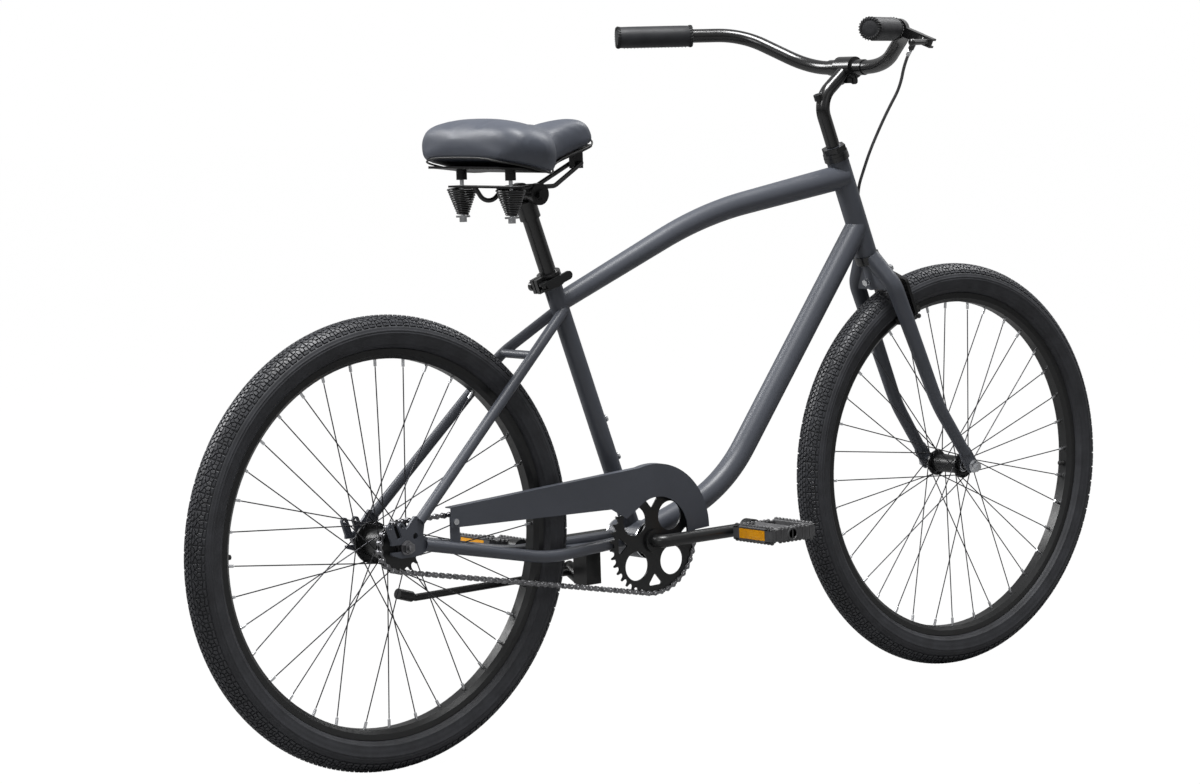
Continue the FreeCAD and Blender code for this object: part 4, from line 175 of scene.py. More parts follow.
class CruiserPedals(bpy.types.PropertyGroup):
    """The pedals' rails, end walls and teeth."""
    span: length("Span", 92.0, "Size of a pedal along the bicycle")
    width: length("Width", 88.0, "Size of a pedal along its spindle")
    rail: length("Rail", 11.0, "Thickness of the front and back rails")
    rail_height: length("Rail height", 22.0, "Height of the rails without their teeth")
    wall: length("End wall", 5.0, "Thickness of the end walls")
    wall_height: length("End wall height", 19.0, "Height of the end walls without their teeth")
    edge: length("Edge", 1.0, "Size of the cut edges")
    barrel: length("Barrel", 11.0, "Radius of the barrel round the spindle")
    reflector_width: length("Reflector width", 58.0, "Width of the frame's opening")
    reflector_height: length("Reflector height", 15.0, "Height of the frame's opening")
    reflector_depth: length("Reflector depth", 4.0, "Depth of the frame's opening")
    tooth_pitch: length("Tooth pitch", 8.0, "Distance between teeth")
    tooth_height: length("Tooth height", 3.0, "Rise of the teeth above their edge")
    rail_teeth: count("Rail teeth", 11, "Teeth along each edge of a rail")
    wall_teeth: count("End wall teeth", 7, "Teeth along each edge of an end wall")
    left_pitch: FloatProperty(name="Left pitch", description="Turn of the left pedal at rest",
                              subtype="ANGLE", default=math.radians(9))


GROUPS = {
    "cruiser_colours": CruiserColours,
    "cruiser_tyres": CruiserTyres,
    "cruiser_saddle": CruiserSaddle,
    "cruiser_grips": CruiserGrips,
    "cruiser_drive": CruiserDrive,
    "cruiser_pedals": CruiserPedals,
}


# Shared helpers

def settings(group):
    """A property group's values as the scene holds them."""
    return getattr(bpy.context.scene, group)


def new_piece(name, mesh, body, nodes=(), material=None):
    """Put a finished mesh in the scene, on its body if it has one, in place of the nodes it stands for."""
    piece = bpy.data.objects.new(name, mesh)
    bpy.context.collection.objects.link(piece)
    if material:
        mesh.materials.clear()
        mesh.materials.append(material)
    if body:
        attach(piece, body)
    if nodes:
        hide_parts(*nodes)
    return piece


def mesh_from(name, points, faces, smooth=True):
    """A mesh with its faces turned outwards."""
    mesh = bpy.data.meshes.new(name)
    mesh.from_pydata([tuple(point) for point in points], [], faces)
    work = bmesh.new()
    work.from_mesh(mesh)
    bmesh.ops.remove_doubles(work, verts=work.verts, dist=1e-7)
    bmesh.ops.recalc_face_normals(work, faces=work.faces)
    work.to_mesh(mesh)
    work.free()
    mesh.polygons.foreach_set("use_smooth", [smooth] * len(mesh.polygons))
    return mesh


def lofted(rings, closed_rings=True, caps=True, ring_loop=False):
    """Points and faces of a skin over rings of equally many points."""
    size = len(rings[0])
    points = [point for ring in rings for point in ring]
    faces = []
    spans = len(rings) if ring_loop else len(rings) - 1
    steps = size if closed_rings else size - 1
    for span in range(spans):
        first = span * size
        second = ((span + 1) % len(rings)) * size
        for step in range(steps):
            after = (step + 1) % size
            faces.append((first + step, first + after, second + after, second + step))
    if caps and not ring_loop:
        faces.append(tuple(reversed(range(size))))
        faces.append(tuple(range(len(points) - size, len(points))))
    return points, faces


def frame_of(direction):
    """Two unit vectors square to a direction."""
    direction = direction.normalized()
    side = direction.cross(UP)
    if side.length < 1e-6:
        side = direction.cross(ACROSS)
    side.normalize()
    return side, direction.cross(side)


def circle_about(centre, side, other, radius, steps):
    """Points round a centre, in the plane of two unit vectors."""
    points = []
    for step in range(steps):
        turn = 2 * math.pi * step / steps
        points.append(centre + side * (radius * math.cos(turn)) + other * (radius * math.sin(turn)))
    return points


def lathe(start, direction, profile, steps):
    """Rings about an axis: profile pairs are distance along it and radius."""
    side, other = frame_of(direction)
    direction = direction.normalized()
    rings = []
    for along, radius in profile:
        rings.append(circle_about(start + direction * along, side, other, radius, steps))
    return lofted(rings)


def merged(*shapes):
    """Points and faces of several shapes in one list."""
    points = []
    faces = []
    for more_points, more_faces in shapes:
        base = len(points)
        points += more_points
        faces += [tuple(base + corner for corner in face) for face in more_faces]
    return points, faces


def evaluated(holder):
    """A plain mesh of an object with its modifiers applied."""
    return bpy.data.meshes.new_from_object(holder.evaluated_get(bpy.context.evaluated_depsgraph_get()))


class NodeTree:
    """Short ways to add and join nodes in a tree."""

    def __init__(self, tree):
        self.tree = tree

    def add(self, kind, **values):
        node = self.tree.nodes.new(kind)
        for name, value in values.items():
            setattr(node, name, value)
        return node

    def join(self, output, socket):
        self.tree.links.new(output, socket)

    def feed(self, node, **inputs):
        """Set inputs by name: a socket is linked, and a plain value is stored."""
        for name, value in inputs.items():
            socket = node.inputs[name.replace("_", " ")]
            if isinstance(value, bpy.types.NodeSocket):
                self.join(value, socket)
            else:
                socket.default_value = value
        return node

    def calculate(self, operation, first, second):
        """The result of a sum on sockets or plain values."""
        node = self.add("ShaderNodeMath", operation=operation)
        for socket, value in zip(node.inputs, (first, second)):
            if isinstance(value, bpy.types.NodeSocket):
                self.join(value, socket)
            else:
                socket.default_value = value
        return node.outputs["Value"]


class Finish(NodeTree):
    """A procedural material made from noise, ramps and bump on a principled shader."""

    # keeps these materials apart from the plain ones that come in with the frame
    prefix = "cruiser_"

    def __init__(self, name, **shader):
        self.material = bpy.data.materials.new(self.prefix + name)
        self.material.use_nodes = True
        super().__init__(self.material.node_tree)
        self.tree.nodes.clear()
        self.shader = self.add("ShaderNodeBsdfPrincipled")
        output = self.add("ShaderNodeOutputMaterial")
        self.join(self.shader.outputs["BSDF"], output.inputs["Surface"])
        self.feed(self.shader, **shader)
        self.place = self.add("ShaderNodeTexCoord").outputs["Object"]
        self.height = None

    def noise(self, scale, detail=3.0, stretch=None):
        """Noise from 0 to 1 on the piece's own coordinates, scale in repeats per metre."""
        node = self.add("ShaderNodeTexNoise")
        self.feed(node, Vector=self.stretched(stretch), Scale=scale, Detail=detail)
        return node.outputs["Fac"]

    def stretched(self, stretch):
        if stretch is None:
            return self.place
        mapping = self.add("ShaderNodeMapping")
        self.feed(mapping, Vector=self.place, Scale=stretch)
        return mapping.outputs["Vector"]

    def cells(self, scale, feature="F1"):
        """Distance in a cell pattern, scale in cells per metre."""
        node = self.add("ShaderNodeTexVoronoi", feature=feature)
        self.feed(node, Vector=self.place, Scale=scale)
        return node.outputs["Distance"]

    def ramp(self, value, stops):
        """Map a value through a colour ramp; each stop is a place and a colour or a grey."""
        node = self.add("ShaderNodeValToRGB")
        elements = node.color_ramp.elements
        for number, (where, shade) in enumerate(stops):
            element = elements[number] if number < 2 else elements.new(where)
            element.position = where
            element.color = shade if hasattr(shade, "__len__") else (shade, shade, shade, 1)
        self.feed(node, Fac=value)
        return node.outputs["Color"]

    def tint(self, base, value, spread):
        """Colour the surface from darker to lighter than its base as a value goes from 0 to 1."""
        dark = [channel * (1 - spread) for channel in base[:3]] + [1]
        light = [min(1, channel * (1 + spread)) for channel in base[:3]] + [1]
        self.feed(self.shader, Base_Color=self.ramp(value, [(0.3, dark), (0.7, light)]))

    def gloss(self, value, low, high):
        """Roughness from low to high as a value goes from 0 to 1."""
        node = self.add("ShaderNodeMapRange")
        self.feed(node, Value=value, To_Min=low, To_Max=high)
        self.feed(self.shader, Roughness=node.outputs["Result"])

    def raised(self, value, distance, strength=1.0):
        """Add a bump, its height in metres."""
        node = self.add("ShaderNodeBump")
        self.feed(node, Height=value, Distance=distance, Strength=strength)
        if self.height:
            self.join(self.height, node.inputs["Normal"])
        self.height = node.outputs["Normal"]
        self.join(self.height, self.shader.inputs["Normal"])


# Finishes

def frame_paint(base):
    """Matte powder coat with a fine orange peel."""
    finish = Finish("frame_paint", IOR=1.48, Coat_Weight=0.06, Coat_Roughness=0.35)
    finish.tint(base, finish.noise(14, 4), 0.06)
    finish.gloss(finish.noise(160, 3), 0.36, 0.46)
    finish.raised(finish.noise(1500, 2), 0.00004, 0.5)
    return finish.material


def gloss_black(base):
    """Black enamel with slow ripples under a clear top coat."""
    finish = Finish("gloss_black", IOR=1.5, Coat_Weight=0.4, Coat_Roughness=0.12)
    finish.tint(base, finish.noise(18, 4), 0.15)
    finish.gloss(finish.noise(90, 4), 0.20, 0.30)
    finish.raised(finish.noise(260, 2), 0.00001, 0.3)
    return finish.material


def satin_black(base):
    """Satin black coat on metal, a little uneven in its gloss."""
    finish = Finish("satin_black", IOR=1.5)
    finish.tint(base, finish.noise(22, 5), 0.18)
    finish.gloss(finish.noise(120, 4), 0.28, 0.40)
    finish.raised(finish.noise(1100, 2), 0.00003, 0.5)
    return finish.material


def bright_steel(base):
    """Bright plating with fine scratches and a breath of haze."""
    finish = Finish("bright_steel", Metallic=1.0)
    finish.tint(base, finish.noise(60, 5), 0.08)
    finish.gloss(finish.noise(900, 3, (1, 0.12, 1)), 0.14, 0.28)
    finish.raised(finish.noise(2200, 2, (1, 0.08, 1)), 0.00001, 0.4)
    return finish.material


def dark_steel(base):
    """Steel, dark with oil."""
    finish = Finish("dark_steel", Metallic=1.0)
    finish.tint(base, finish.noise(180, 5), 0.30)
    finish.gloss(finish.noise(400, 3), 0.26, 0.44)
    finish.raised(finish.noise(2600, 2), 0.00001, 0.4)
    return finish.material


def spoke_steel(base, bright, axle_x, axle_z, nipple_radius):
    """Dark spokes whose nipples at the rim are bright."""
    finish = Finish("spoke_steel_%+.0f" % (axle_x * 1000), Metallic=1.0)
    offset = finish.add("ShaderNodeVectorMath", operation="SUBTRACT")
    finish.join(finish.place, offset.inputs[0])
    offset.inputs[1].default_value = (axle_x, 0, axle_z)
    flat = finish.add("ShaderNodeVectorMath", operation="MULTIPLY")
    finish.join(offset.outputs[0], flat.inputs[0])
    flat.inputs[1].default_value = (1, 0, 1)
    reach = finish.add("ShaderNodeVectorMath", operation="LENGTH")
    finish.join(flat.outputs[0], reach.inputs[0])
    outer = finish.calculate("GREATER_THAN", reach.outputs["Value"], nipple_radius)
    drawn = finish.calculate("MULTIPLY", finish.noise(240, 4), 0.16)
    place = finish.calculate("ADD", finish.calculate("MULTIPLY", outer, 0.8), drawn)
    low = [channel * 0.8 for channel in base[:3]] + [1]
    high = [channel * 0.9 for channel in bright[:3]] + [1]
    stops = [(0.0, low), (0.17, base), (0.8, high), (1.0, bright)]
    finish.feed(finish.shader, Base_Color=finish.ramp(place, stops))
    finish.gloss(finish.noise(500, 3), 0.24, 0.38)
    return finish.material


def two_tone(name, low, high, height):
    """Bright plated metal below a height, and black paint above it."""
    finish = Finish(name)
    split = finish.add("ShaderNodeSeparateXYZ")
    finish.feed(split, Vector=finish.place)
    above = finish.calculate("GREATER_THAN", split.outputs["Z"], height)
    cloudy = finish.calculate("MULTIPLY", finish.noise(60, 4), 0.1)
    shade = finish.calculate("ADD", finish.calculate("MULTIPLY", above, 0.9), cloudy)
    dull = [channel * 0.85 for channel in low[:3]] + [1]
    finish.feed(finish.shader, Base_Color=finish.ramp(shade, [(0.0, dull), (0.1, low), (0.9, high)]))
    finish.feed(finish.shader, Metallic=finish.calculate("SUBTRACT", 1.0, above))
    finish.gloss(finish.noise(400, 3), 0.18, 0.32)
    return finish.material


def tyre_rubber(base):
    """Black tyre rubber with a dusty bloom and a pebbled skin."""
    finish = Finish("tyre_rubber", IOR=1.5, Specular_IOR_Level=0.42)
    finish.tint(base, finish.noise(35, 6), 0.28)
    finish.gloss(finish.noise(240, 4), 0.52, 0.72)
    finish.raised(finish.cells(900), 0.00002, 0.25)
    return finish.material


def tread_rubber(base):
    """The tread's blocks, rubbed smoother than the side of the tyre, and a little lighter as a painted
    highlight on their tops.
    """
    finish = Finish("tread_rubber", IOR=1.5, Specular_IOR_Level=0.5)
    finish.tint(base, finish.noise(35, 6), 0.20)
    finish.gloss(finish.noise(240, 4), 0.36, 0.50)
    finish.raised(finish.noise(900, 2), 0.00002, 0.3)
    return finish.material


def soft_rubber(base):
    """Plain black rubber with a moulded grain."""
    finish = Finish("soft_rubber", IOR=1.5)
    finish.tint(base, finish.noise(70, 5), 0.25)
    finish.gloss(finish.noise(300, 3), 0.55, 0.75)
    finish.raised(finish.noise(1800, 2), 0.00005, 0.5)
    return finish.material


def moulded_plastic(base):
    """Black moulded plastic with a fine spark-eroded grain."""
    finish = Finish("moulded_plastic", IOR=1.49)
    finish.tint(base, finish.noise(50, 5), 0.20)
    finish.gloss(finish.noise(380, 3), 0.36, 0.52)
    finish.raised(finish.noise(2400, 3), 0.00003, 0.4)
    return finish.material


def amber_plastic(base):
    """Glossy amber plastic with small square prisms."""
    finish = Finish("amber_plastic", IOR=1.49, Coat_Weight=0.6, Coat_Roughness=0.05)
    checks = finish.add("ShaderNodeTexChecker")
    finish.feed(checks, Vector=finish.place, Scale=420.0)
    prisms = finish.calculate("MULTIPLY", checks.outputs["Fac"], 0.45)
    finish.tint(base, finish.calculate("ADD", prisms, finish.noise(90, 3)), 0.30)
    finish.gloss(finish.noise(200, 3), 0.12, 0.22)
    finish.raised(checks.outputs["Fac"], 0.0002, 0.5)
    return finish.material


def saddle_vinyl(base):
    """Soft grey vinyl with a coarse and a fine leather grain."""
    finish = Finish("saddle_vinyl", IOR=1.5, Specular_IOR_Level=0.55)
    finish.tint(base, finish.noise(26, 5), 0.07)
    finish.gloss(finish.noise(140, 4), 0.44, 0.52)
    finish.raised(finish.cells(620, "SMOOTH_F1"), 0.00010, 0.35)
    finish.raised(finish.noise(1700, 3), 0.00004, 0.5)
    return finish.material


def grip_cover(base):
    """Wrapped cover with a leather grain, rubbed lighter in places."""
    finish = Finish("grip_cover", IOR=1.47, Specular_IOR_Level=0.35)
    finish.tint(base, finish.noise(45, 6), 0.22)
    finish.gloss(finish.noise(160, 4), 0.42, 0.58)
    finish.raised(finish.cells(850, "SMOOTH_F1"), 0.00014, 0.6)
    finish.raised(finish.noise(2100, 3), 0.00005, 0.5)
    return finish.material


def lacing(base):
    """Black waxed lace with a twisted grain."""
    finish = Finish("lacing", IOR=1.5)
    finish.tint(base, finish.noise(300, 4), 0.35)
    finish.gloss(finish.noise(500, 3), 0.40, 0.60)
    finish.raised(finish.noise(2600, 2, (1, 1, 0.3)), 0.00008, 0.6)
    return finish.material


# Geometry node trees

class Growth(NodeTree):
    """A geometry node tree with named inputs, whose result becomes a plain mesh."""

    def __init__(self, name):
        super().__init__(bpy.data.node_groups.new(name, "GeometryNodeTree"))
        self.tree.interface.new_socket("Geometry", in_out="INPUT", socket_type="NodeSocketGeometry")
        self.tree.interface.new_socket("Geometry", in_out="OUTPUT", socket_type="NodeSocketGeometry")
        self.entry = self.add("NodeGroupInput")
        self.values = {}

    def input(self, name, kind, value):
        """A named input with its value, as a socket inside the tree."""
        item = self.tree.interface.new_socket(name, in_out="INPUT", socket_type="NodeSocket" + kind)
        self.values[item.identifier] = value
        return self.entry.outputs[name]

    def index(self):
        return self.add("GeometryNodeInputIndex").outputs["Index"]

    def vector(self, x=0.0, y=0.0, z=0.0):
        node = self.add("ShaderNodeCombineXYZ")
        return self.feed(node, X=x, Y=y, Z=z).outputs["Vector"]

    def turned(self, axis, **others):
        """The turn stored on each point, as a rotation about one axis, after any fixed turns."""
        turn = self.add("GeometryNodeInputNamedAttribute", data_type="FLOAT")
        self.feed(turn, Name="turn")
        return self.vector(**{axis: turn.outputs["Attribute"]}, **others)

    def repeat(self, number, geometry, rotation, position):
        """Instances of one geometry on a row of points."""
        points = self.add("GeometryNodePoints")
        self.feed(points, Count=number, Position=position)
        spread = self.add("GeometryNodeInstanceOnPoints")
        self.feed(spread, Points=points.outputs["Points"], Instance=geometry, Rotation=rotation)
        return spread.outputs["Instances"]

    def model(self, name, piece):
        """The geometry of another object, given as an input."""
        node = self.add("GeometryNodeObjectInfo", transform_space="ORIGINAL")
        self.join(self.input(name, "Object", piece), node.inputs["Object"])
        return node.outputs["Geometry"]

    def grown(self, name, material, *geometries, base=None):
        """Join, realize and finish the geometries, and return them as a plain mesh."""
        gather = self.add("GeometryNodeJoinGeometry")
        for geometry in geometries:
            self.join(geometry, gather.inputs["Geometry"])
        real = self.add("GeometryNodeRealizeInstances")
        self.feed(real, Geometry=gather.outputs["Geometry"])
        painted = self.add("GeometryNodeSetMaterial")
        self.feed(painted, Geometry=real.outputs["Geometry"], Material=material)
        output = self.add("NodeGroupOutput")
        self.join(painted.outputs["Geometry"], output.inputs["Geometry"])
        holder = bpy.data.objects.new(name + "_growth", base or bpy.data.meshes.new(name + "_base"))
        bpy.context.collection.objects.link(holder)
        modifier = holder.modifiers.new("growth", "NODES")
        modifier.node_group = self.tree
        for identifier, value in self.values.items():
            modifier[identifier] = value
        mesh = evaluated(holder)
        mesh.name = name
        holder.modifiers.remove(modifier)
        bpy.data.objects.remove(holder)
        return mesh


def turned_points(name, places, turns):
    """Loose points that each store a turn, for a node tree to read."""
    mesh = bpy.data.meshes.new(name)
    mesh.from_pydata([tuple(place) for place in places], [], [])
    stored = mesh.attributes.new("turn", "FLOAT", "POINT")
    stored.data.foreach_set("value", turns)
    return mesh


def template(name, mesh):
    """An object that only lends its mesh to a node tree, and isn't in the scene."""
    return bpy.data.objects.new(name, mesh)


# Tyres

def wheel_ring(centre_x, centre_z, profile, steps):
    """A skin round a wheel's axle: profile pairs are place across and radius, as a closed section."""
    rings = []
    for step in range(steps):
        turn = 2 * math.pi * step / steps
        ring = []
        for across, radius in profile:
            x = centre_x + radius * math.sin(turn)
            ring.append(Vector((x, across, centre_z + radius * math.cos(turn))))
        rings.append(ring)
    return lofted(rings, ring_loop=True)


def section_point(tyre, lean, height):
    """Place across and radius on the tyre's section, at an angle from its crown and a height over it."""
    reach = tyre.section_radius + height
    return reach * math.sin(lean), tyre.centre_radius + reach * math.cos(lean)


# angles from the crown on the tyre's section: edge of the tread, step below it, raised lines, bead
TREAD_EDGE = math.radians(63)
STEP_EDGE = math.radians(66)
RIDGES = (math.radians(79), math.radians(87), math.radians(122))
RIDGE_HALF = math.radians(1.3)
SHOULDER = math.radians(141)
RIDGE_HEIGHT = 0.5 * MILLIMETRE
SKIN_DROP = 0.6 * MILLIMETRE


def carcass_half(tyre):
    """One half of the carcass outside, from the crown to the bead: groove floor, step, sidewall lines."""
    half = [section_point(tyre, TREAD_EDGE * step / 8, -tyre.tread_depth) for step in range(9)]
    half.append(section_point(tyre, STEP_EDGE, -SKIN_DROP))
    lean = STEP_EDGE
    for ridge in RIDGES:
        gap = ridge - RIDGE_HALF * 2 - lean
        half += [section_point(tyre, lean + gap * share, -SKIN_DROP) for share in (0.33, 0.67)]
        half.append(section_point(tyre, ridge - RIDGE_HALF * 2, -SKIN_DROP))
        half.append(section_point(tyre, ridge - RIDGE_HALF, RIDGE_HEIGHT - SKIN_DROP))
        half.append(section_point(tyre, ridge + RIDGE_HALF, RIDGE_HEIGHT - SKIN_DROP))
        lean = ridge + RIDGE_HALF * 2
        half.append(section_point(tyre, lean, -SKIN_DROP))
    half += [section_point(tyre, lean + (SHOULDER - lean) * share, -SKIN_DROP) for share in (0.5, 1.0)]
    across, radius = half[-1]
    half.append((tyre.bead_half_width, radius))
    half.append((tyre.bead_half_width, tyre.bead_radius))
    return half


def carcass_section(tyre):
    """The closed section of the carcass, outside and inside."""
    half = carcass_half(tyre)
    cavity = tyre.section_radius - tyre.wall
    throat = tyre.bead_half_width - tyre.wall
    last = math.pi - math.asin(throat / cavity)
    inner = [(throat, tyre.bead_radius)]
    for step in range(9):
        lean = last * (1 - step / 8)
        inner.append((cavity * math.sin(lean), tyre.centre_radius + cavity * math.cos(lean)))
    right = half + inner
    left = [(-across, radius) for across, radius in reversed(right[1:-1])]
    return right + left


def tread_outlines():
    """The blocks of one pitch: corners as shares of the pitch and of the tread's half width."""
    blocks = []
    for third in (0.0, 1 / 3, 2 / 3):
        crown = [(0.02, 0.0), (0.10, 0.085), (0.24, 0.085), (0.31, 0.0), (0.24, -0.085), (0.10, -0.085)]
        blocks.append([(third + along, across) for along, across in crown])
    for side in (1, -1):
        shift = 0.0 if side > 0 else 0.5
        for third in (1 / 6, 1 / 2, 5 / 6):
            row = [(0.02, 0.19), (0.10, 0.115), (0.24, 0.115), (0.31, 0.19), (0.24, 0.27), (0.10, 0.27)]
            blocks.append([(third + along, side * across) for along, across in row])
        arrows = [
            [(0.03, 0.31), (0.24, 0.30), (0.45, 0.40), (0.33, 0.47), (0.16, 0.43)],
            [(0.50, 0.40), (0.70, 0.30), (0.97, 0.31), (0.82, 0.43), (0.62, 0.47)],
            [(0.36, 0.50), (0.475, 0.44), (0.59, 0.50), (0.475, 0.62)],
            [(0.04, 0.37), (0.13, 0.46), (0.29, 0.52), (0.18, 0.60), (0.04, 0.62)],
            [(0.96, 0.37), (0.87, 0.46), (0.66, 0.52), (0.78, 0.60), (0.96, 0.62)],
            [(0.33, 0.56), (0.43, 0.66), (0.43, 0.80), (0.24, 0.80), (0.22, 0.65)],
            [(0.62, 0.56), (0.52, 0.66), (0.52, 0.80), (0.71, 0.80), (0.73, 0.65)],
            [(0.05, 0.67), (0.16, 0.66), (0.19, 0.82), (0.05, 0.85)],
            [(0.95, 0.67), (0.79, 0.66), (0.76, 0.82), (0.95, 0.85)],
            [(0.06, 0.88), (0.42, 0.83), (0.42, 0.98), (0.06, 0.98)],
            [(0.94, 0.88), (0.53, 0.83), (0.53, 0.98), (0.94, 0.98)],
        ]
        for arrow in arrows:
            blocks.append([(along + shift, side * across) for along, across in arrow])
    return blocks


def tread_pitch(tyre):
    """One pitch of tread blocks about the wheel's axle, each with drafted sides and a sunk foot."""
    pitch = 2 * math.pi / tyre.pitch_count
    shapes = []
    for outline in tread_outlines():
        middle = sum((Vector(corner) for corner in outline), Vector((0, 0))) / len(outline)
        rings = []
        for height, share in ((-tyre.tread_depth * 1.2, 1.0), (-0.25 * MILLIMETRE, 0.97), (0.0, 0.86)):
            ring = []
            for along, across in outline:
                along = middle.x + (along - middle.x) * share
                across = middle.y + (across - middle.y) * share
                place, radius = section_point(tyre, across * TREAD_EDGE, height)
                turn = along * pitch
                ring.append(Vector((radius * math.sin(turn), place, radius * math.cos(turn))))
            rings.append(ring)
        shapes.append(lofted(rings))
    points, faces = merged(*shapes)
    return mesh_from("tread_pitch", points, faces, smooth=False)


def tyre_mesh(name, tyre, axle, material):
    """The carcass with its tread blocks repeated round it."""
    points, faces = wheel_ring(axle.x, axle.z, carcass_section(tyre), 2 * tyre.pitch_count)
    carcass = mesh_from(name + "_carcass", points, faces)
    growth = Growth(name + "_tread")
    number = growth.input("Pitches", "Int", tyre.pitch_count)
    centre = growth.input("Axle", "Vector", tuple(axle))
    lender = template("tread_pitch", tread_pitch(tyre))
    blocks = growth.model("Pitch", lender)
    step = growth.calculate("DIVIDE", 2 * math.pi, number)
    rotation = growth.vector(y=growth.calculate("MULTIPLY", growth.index(), step))
    ring = growth.repeat(number, blocks, rotation, centre)
    mesh = growth.grown(name, material, growth.entry.outputs["Geometry"], ring, base=carcass)
    bpy.data.objects.remove(lender)
    return mesh


def rub_tread(mesh, material):
    """Give the tread's blocks, which are the tyre's flat-shaded faces, a finish of their own."""
    mesh.materials.append(material)
    for face in mesh.polygons:
        if not face.use_smooth:
            face.material_index = len(mesh.materials) - 1


def air_tube_mesh(name, tyre, axle, valve_turn):
    """The air tube inside the tyre, and its valve with a knurled cap, through the rim."""
    profile = []
    for step in range(20):
        turn = 2 * math.pi * step / 20
        across = tyre.tube_radius * math.sin(turn)
        profile.append((across, tyre.centre_radius + tyre.tube_radius * math.cos(turn)))
    tube = wheel_ring(axle.x, axle.z, profile, 96)
    inward = -Vector((math.cos(valve_turn), 0, math.sin(valve_turn)))
    start = axle - inward * (tyre.centre_radius - tyre.tube_radius + tyre.wall)
    reach = tyre.valve_length
    stem = [(0, 1.0), (reach * 0.52, 1.0), (reach * 0.53, 0.8), (reach * 0.58, 0.8), (reach * 0.59, 1.0)]
    for ridge in range(6):
        low = reach * (0.62 + 0.055 * ridge)
        stem += [(low, 1.0), (low + reach * 0.03, 1.0)]
        stem += [(low + reach * 0.035, 0.88), (low + reach * 0.05, 0.88)]
    stem += [(reach * 0.97, 0.95), (reach, 0.7)]
    profile = [(along, radius * tyre.valve_radius) for along, radius in stem]
    return mesh_from(name, *merged(tube, lathe(start, inward, profile, 20)))


# Saddle

SADDLE_STATIONS = (
    # distance behind the nose, half width, rise of the base, drop of the top, in millimetres
    (0.5, 5.0, 32.0, 40.0),
    (3.0, 12.0, 27.0, 27.0),
    (10.0, 18.5, 24.0, 15.0),
    (18.0, 23.0, 22.0, 9.0),
    (30.0, 26.5, 18.5, 5.5),
    (45.0, 29.0, 15.0, 4.0),
    (62.0, 32.0, 10.5, 5.5),
    (80.0, 36.0, 6.0, 8.0),
    (95.0, 42.5, 1.0, 11.0),
    (108.0, 52.0, -3.5, 13.0),
    (121.0, 71.0, -7.5, 13.5),
    (134.0, 92.0, -10.5, 13.0),
    (150.0, 110.0, -11.0, 10.5),
    (165.0, 122.0, -9.0, 7.0),
    (180.0, 128.0, -5.5, 3.5),
    (195.0, 130.0, -1.5, 1.0),
    (210.0, 129.5, 2.0, 0.0),
    (222.0, 126.0, 5.0, 0.0),
    (232.0, 118.0, 7.5, 3.0),
    (240.0, 106.0, 9.5, 8.0),
    (244.5, 90.0, 12.0, 15.0),
    (246.0, 72.0, 16.0, 24.0),
)
SADDLE_SECTION = (
    # share of the half width, share of the height
    (0.86, 0.00), (0.93, 0.10), (0.985, 0.25), (1.0, 0.42), (0.98, 0.58), (0.93, 0.72), (0.83, 0.84),
    (0.66, 0.925), (0.45, 0.97), (0.22, 0.993), (0.0, 1.0),
)


def saddle_ring(saddle, station):
    """One cross section of the cover, from the hem on one side over the crown to the other."""
    back, half_width, base_rise, top_drop = (value * MILLIMETRE for value in station)
    x = saddle.nose_x - back
    base = saddle.base_height + base_rise
    height = saddle.thickness - top_drop - base_rise
    right = [Vector((x, -half_width * wide, base + height * high)) for wide, high in SADDLE_SECTION]
    left = [Vector((point.x, -point.y, point.z)) for point in reversed(right[:-1])]
    floor = [Vector((x, half_width * wide, base + saddle.hem)) for wide in (0.78, 0.4, 0.0, -0.4, -0.78)]
    return right + left + floor


def saddle_mesh(saddle):
    """The cover as a closed skin over its cross sections."""
    points, faces = lofted([saddle_ring(saddle, station) for station in SADDLE_STATIONS])
    return mesh_from("saddle_cover_skin", points, faces)


def subdivided(mesh, levels):
    """The mesh with a subdivision surface applied."""
    holder = bpy.data.objects.new("subdivided", mesh)
    bpy.context.collection.objects.link(holder)
    modifier = holder.modifiers.new("smooth", "SUBSURF")
    modifier.levels = levels
    modifier.render_levels = levels
    result = evaluated(holder)
    result.name = mesh.name
    bpy.data.objects.remove(holder)
    return result


def hem_height(saddle, x):
    """Height of the cover's lower edge at a place along the bicycle."""
    back = (saddle.nose_x - x) / MILLIMETRE
    for before, after in zip(SADDLE_STATIONS, SADDLE_STATIONS[1:]):
        if back <= after[0]:
            share = max(0.0, (back - before[0]) / (after[0] - before[0]))
            return saddle.base_height + (before[2] + share * (after[2] - before[2])) * MILLIMETRE
    return saddle.base_height + SADDLE_STATIONS[-1][2] * MILLIMETRE


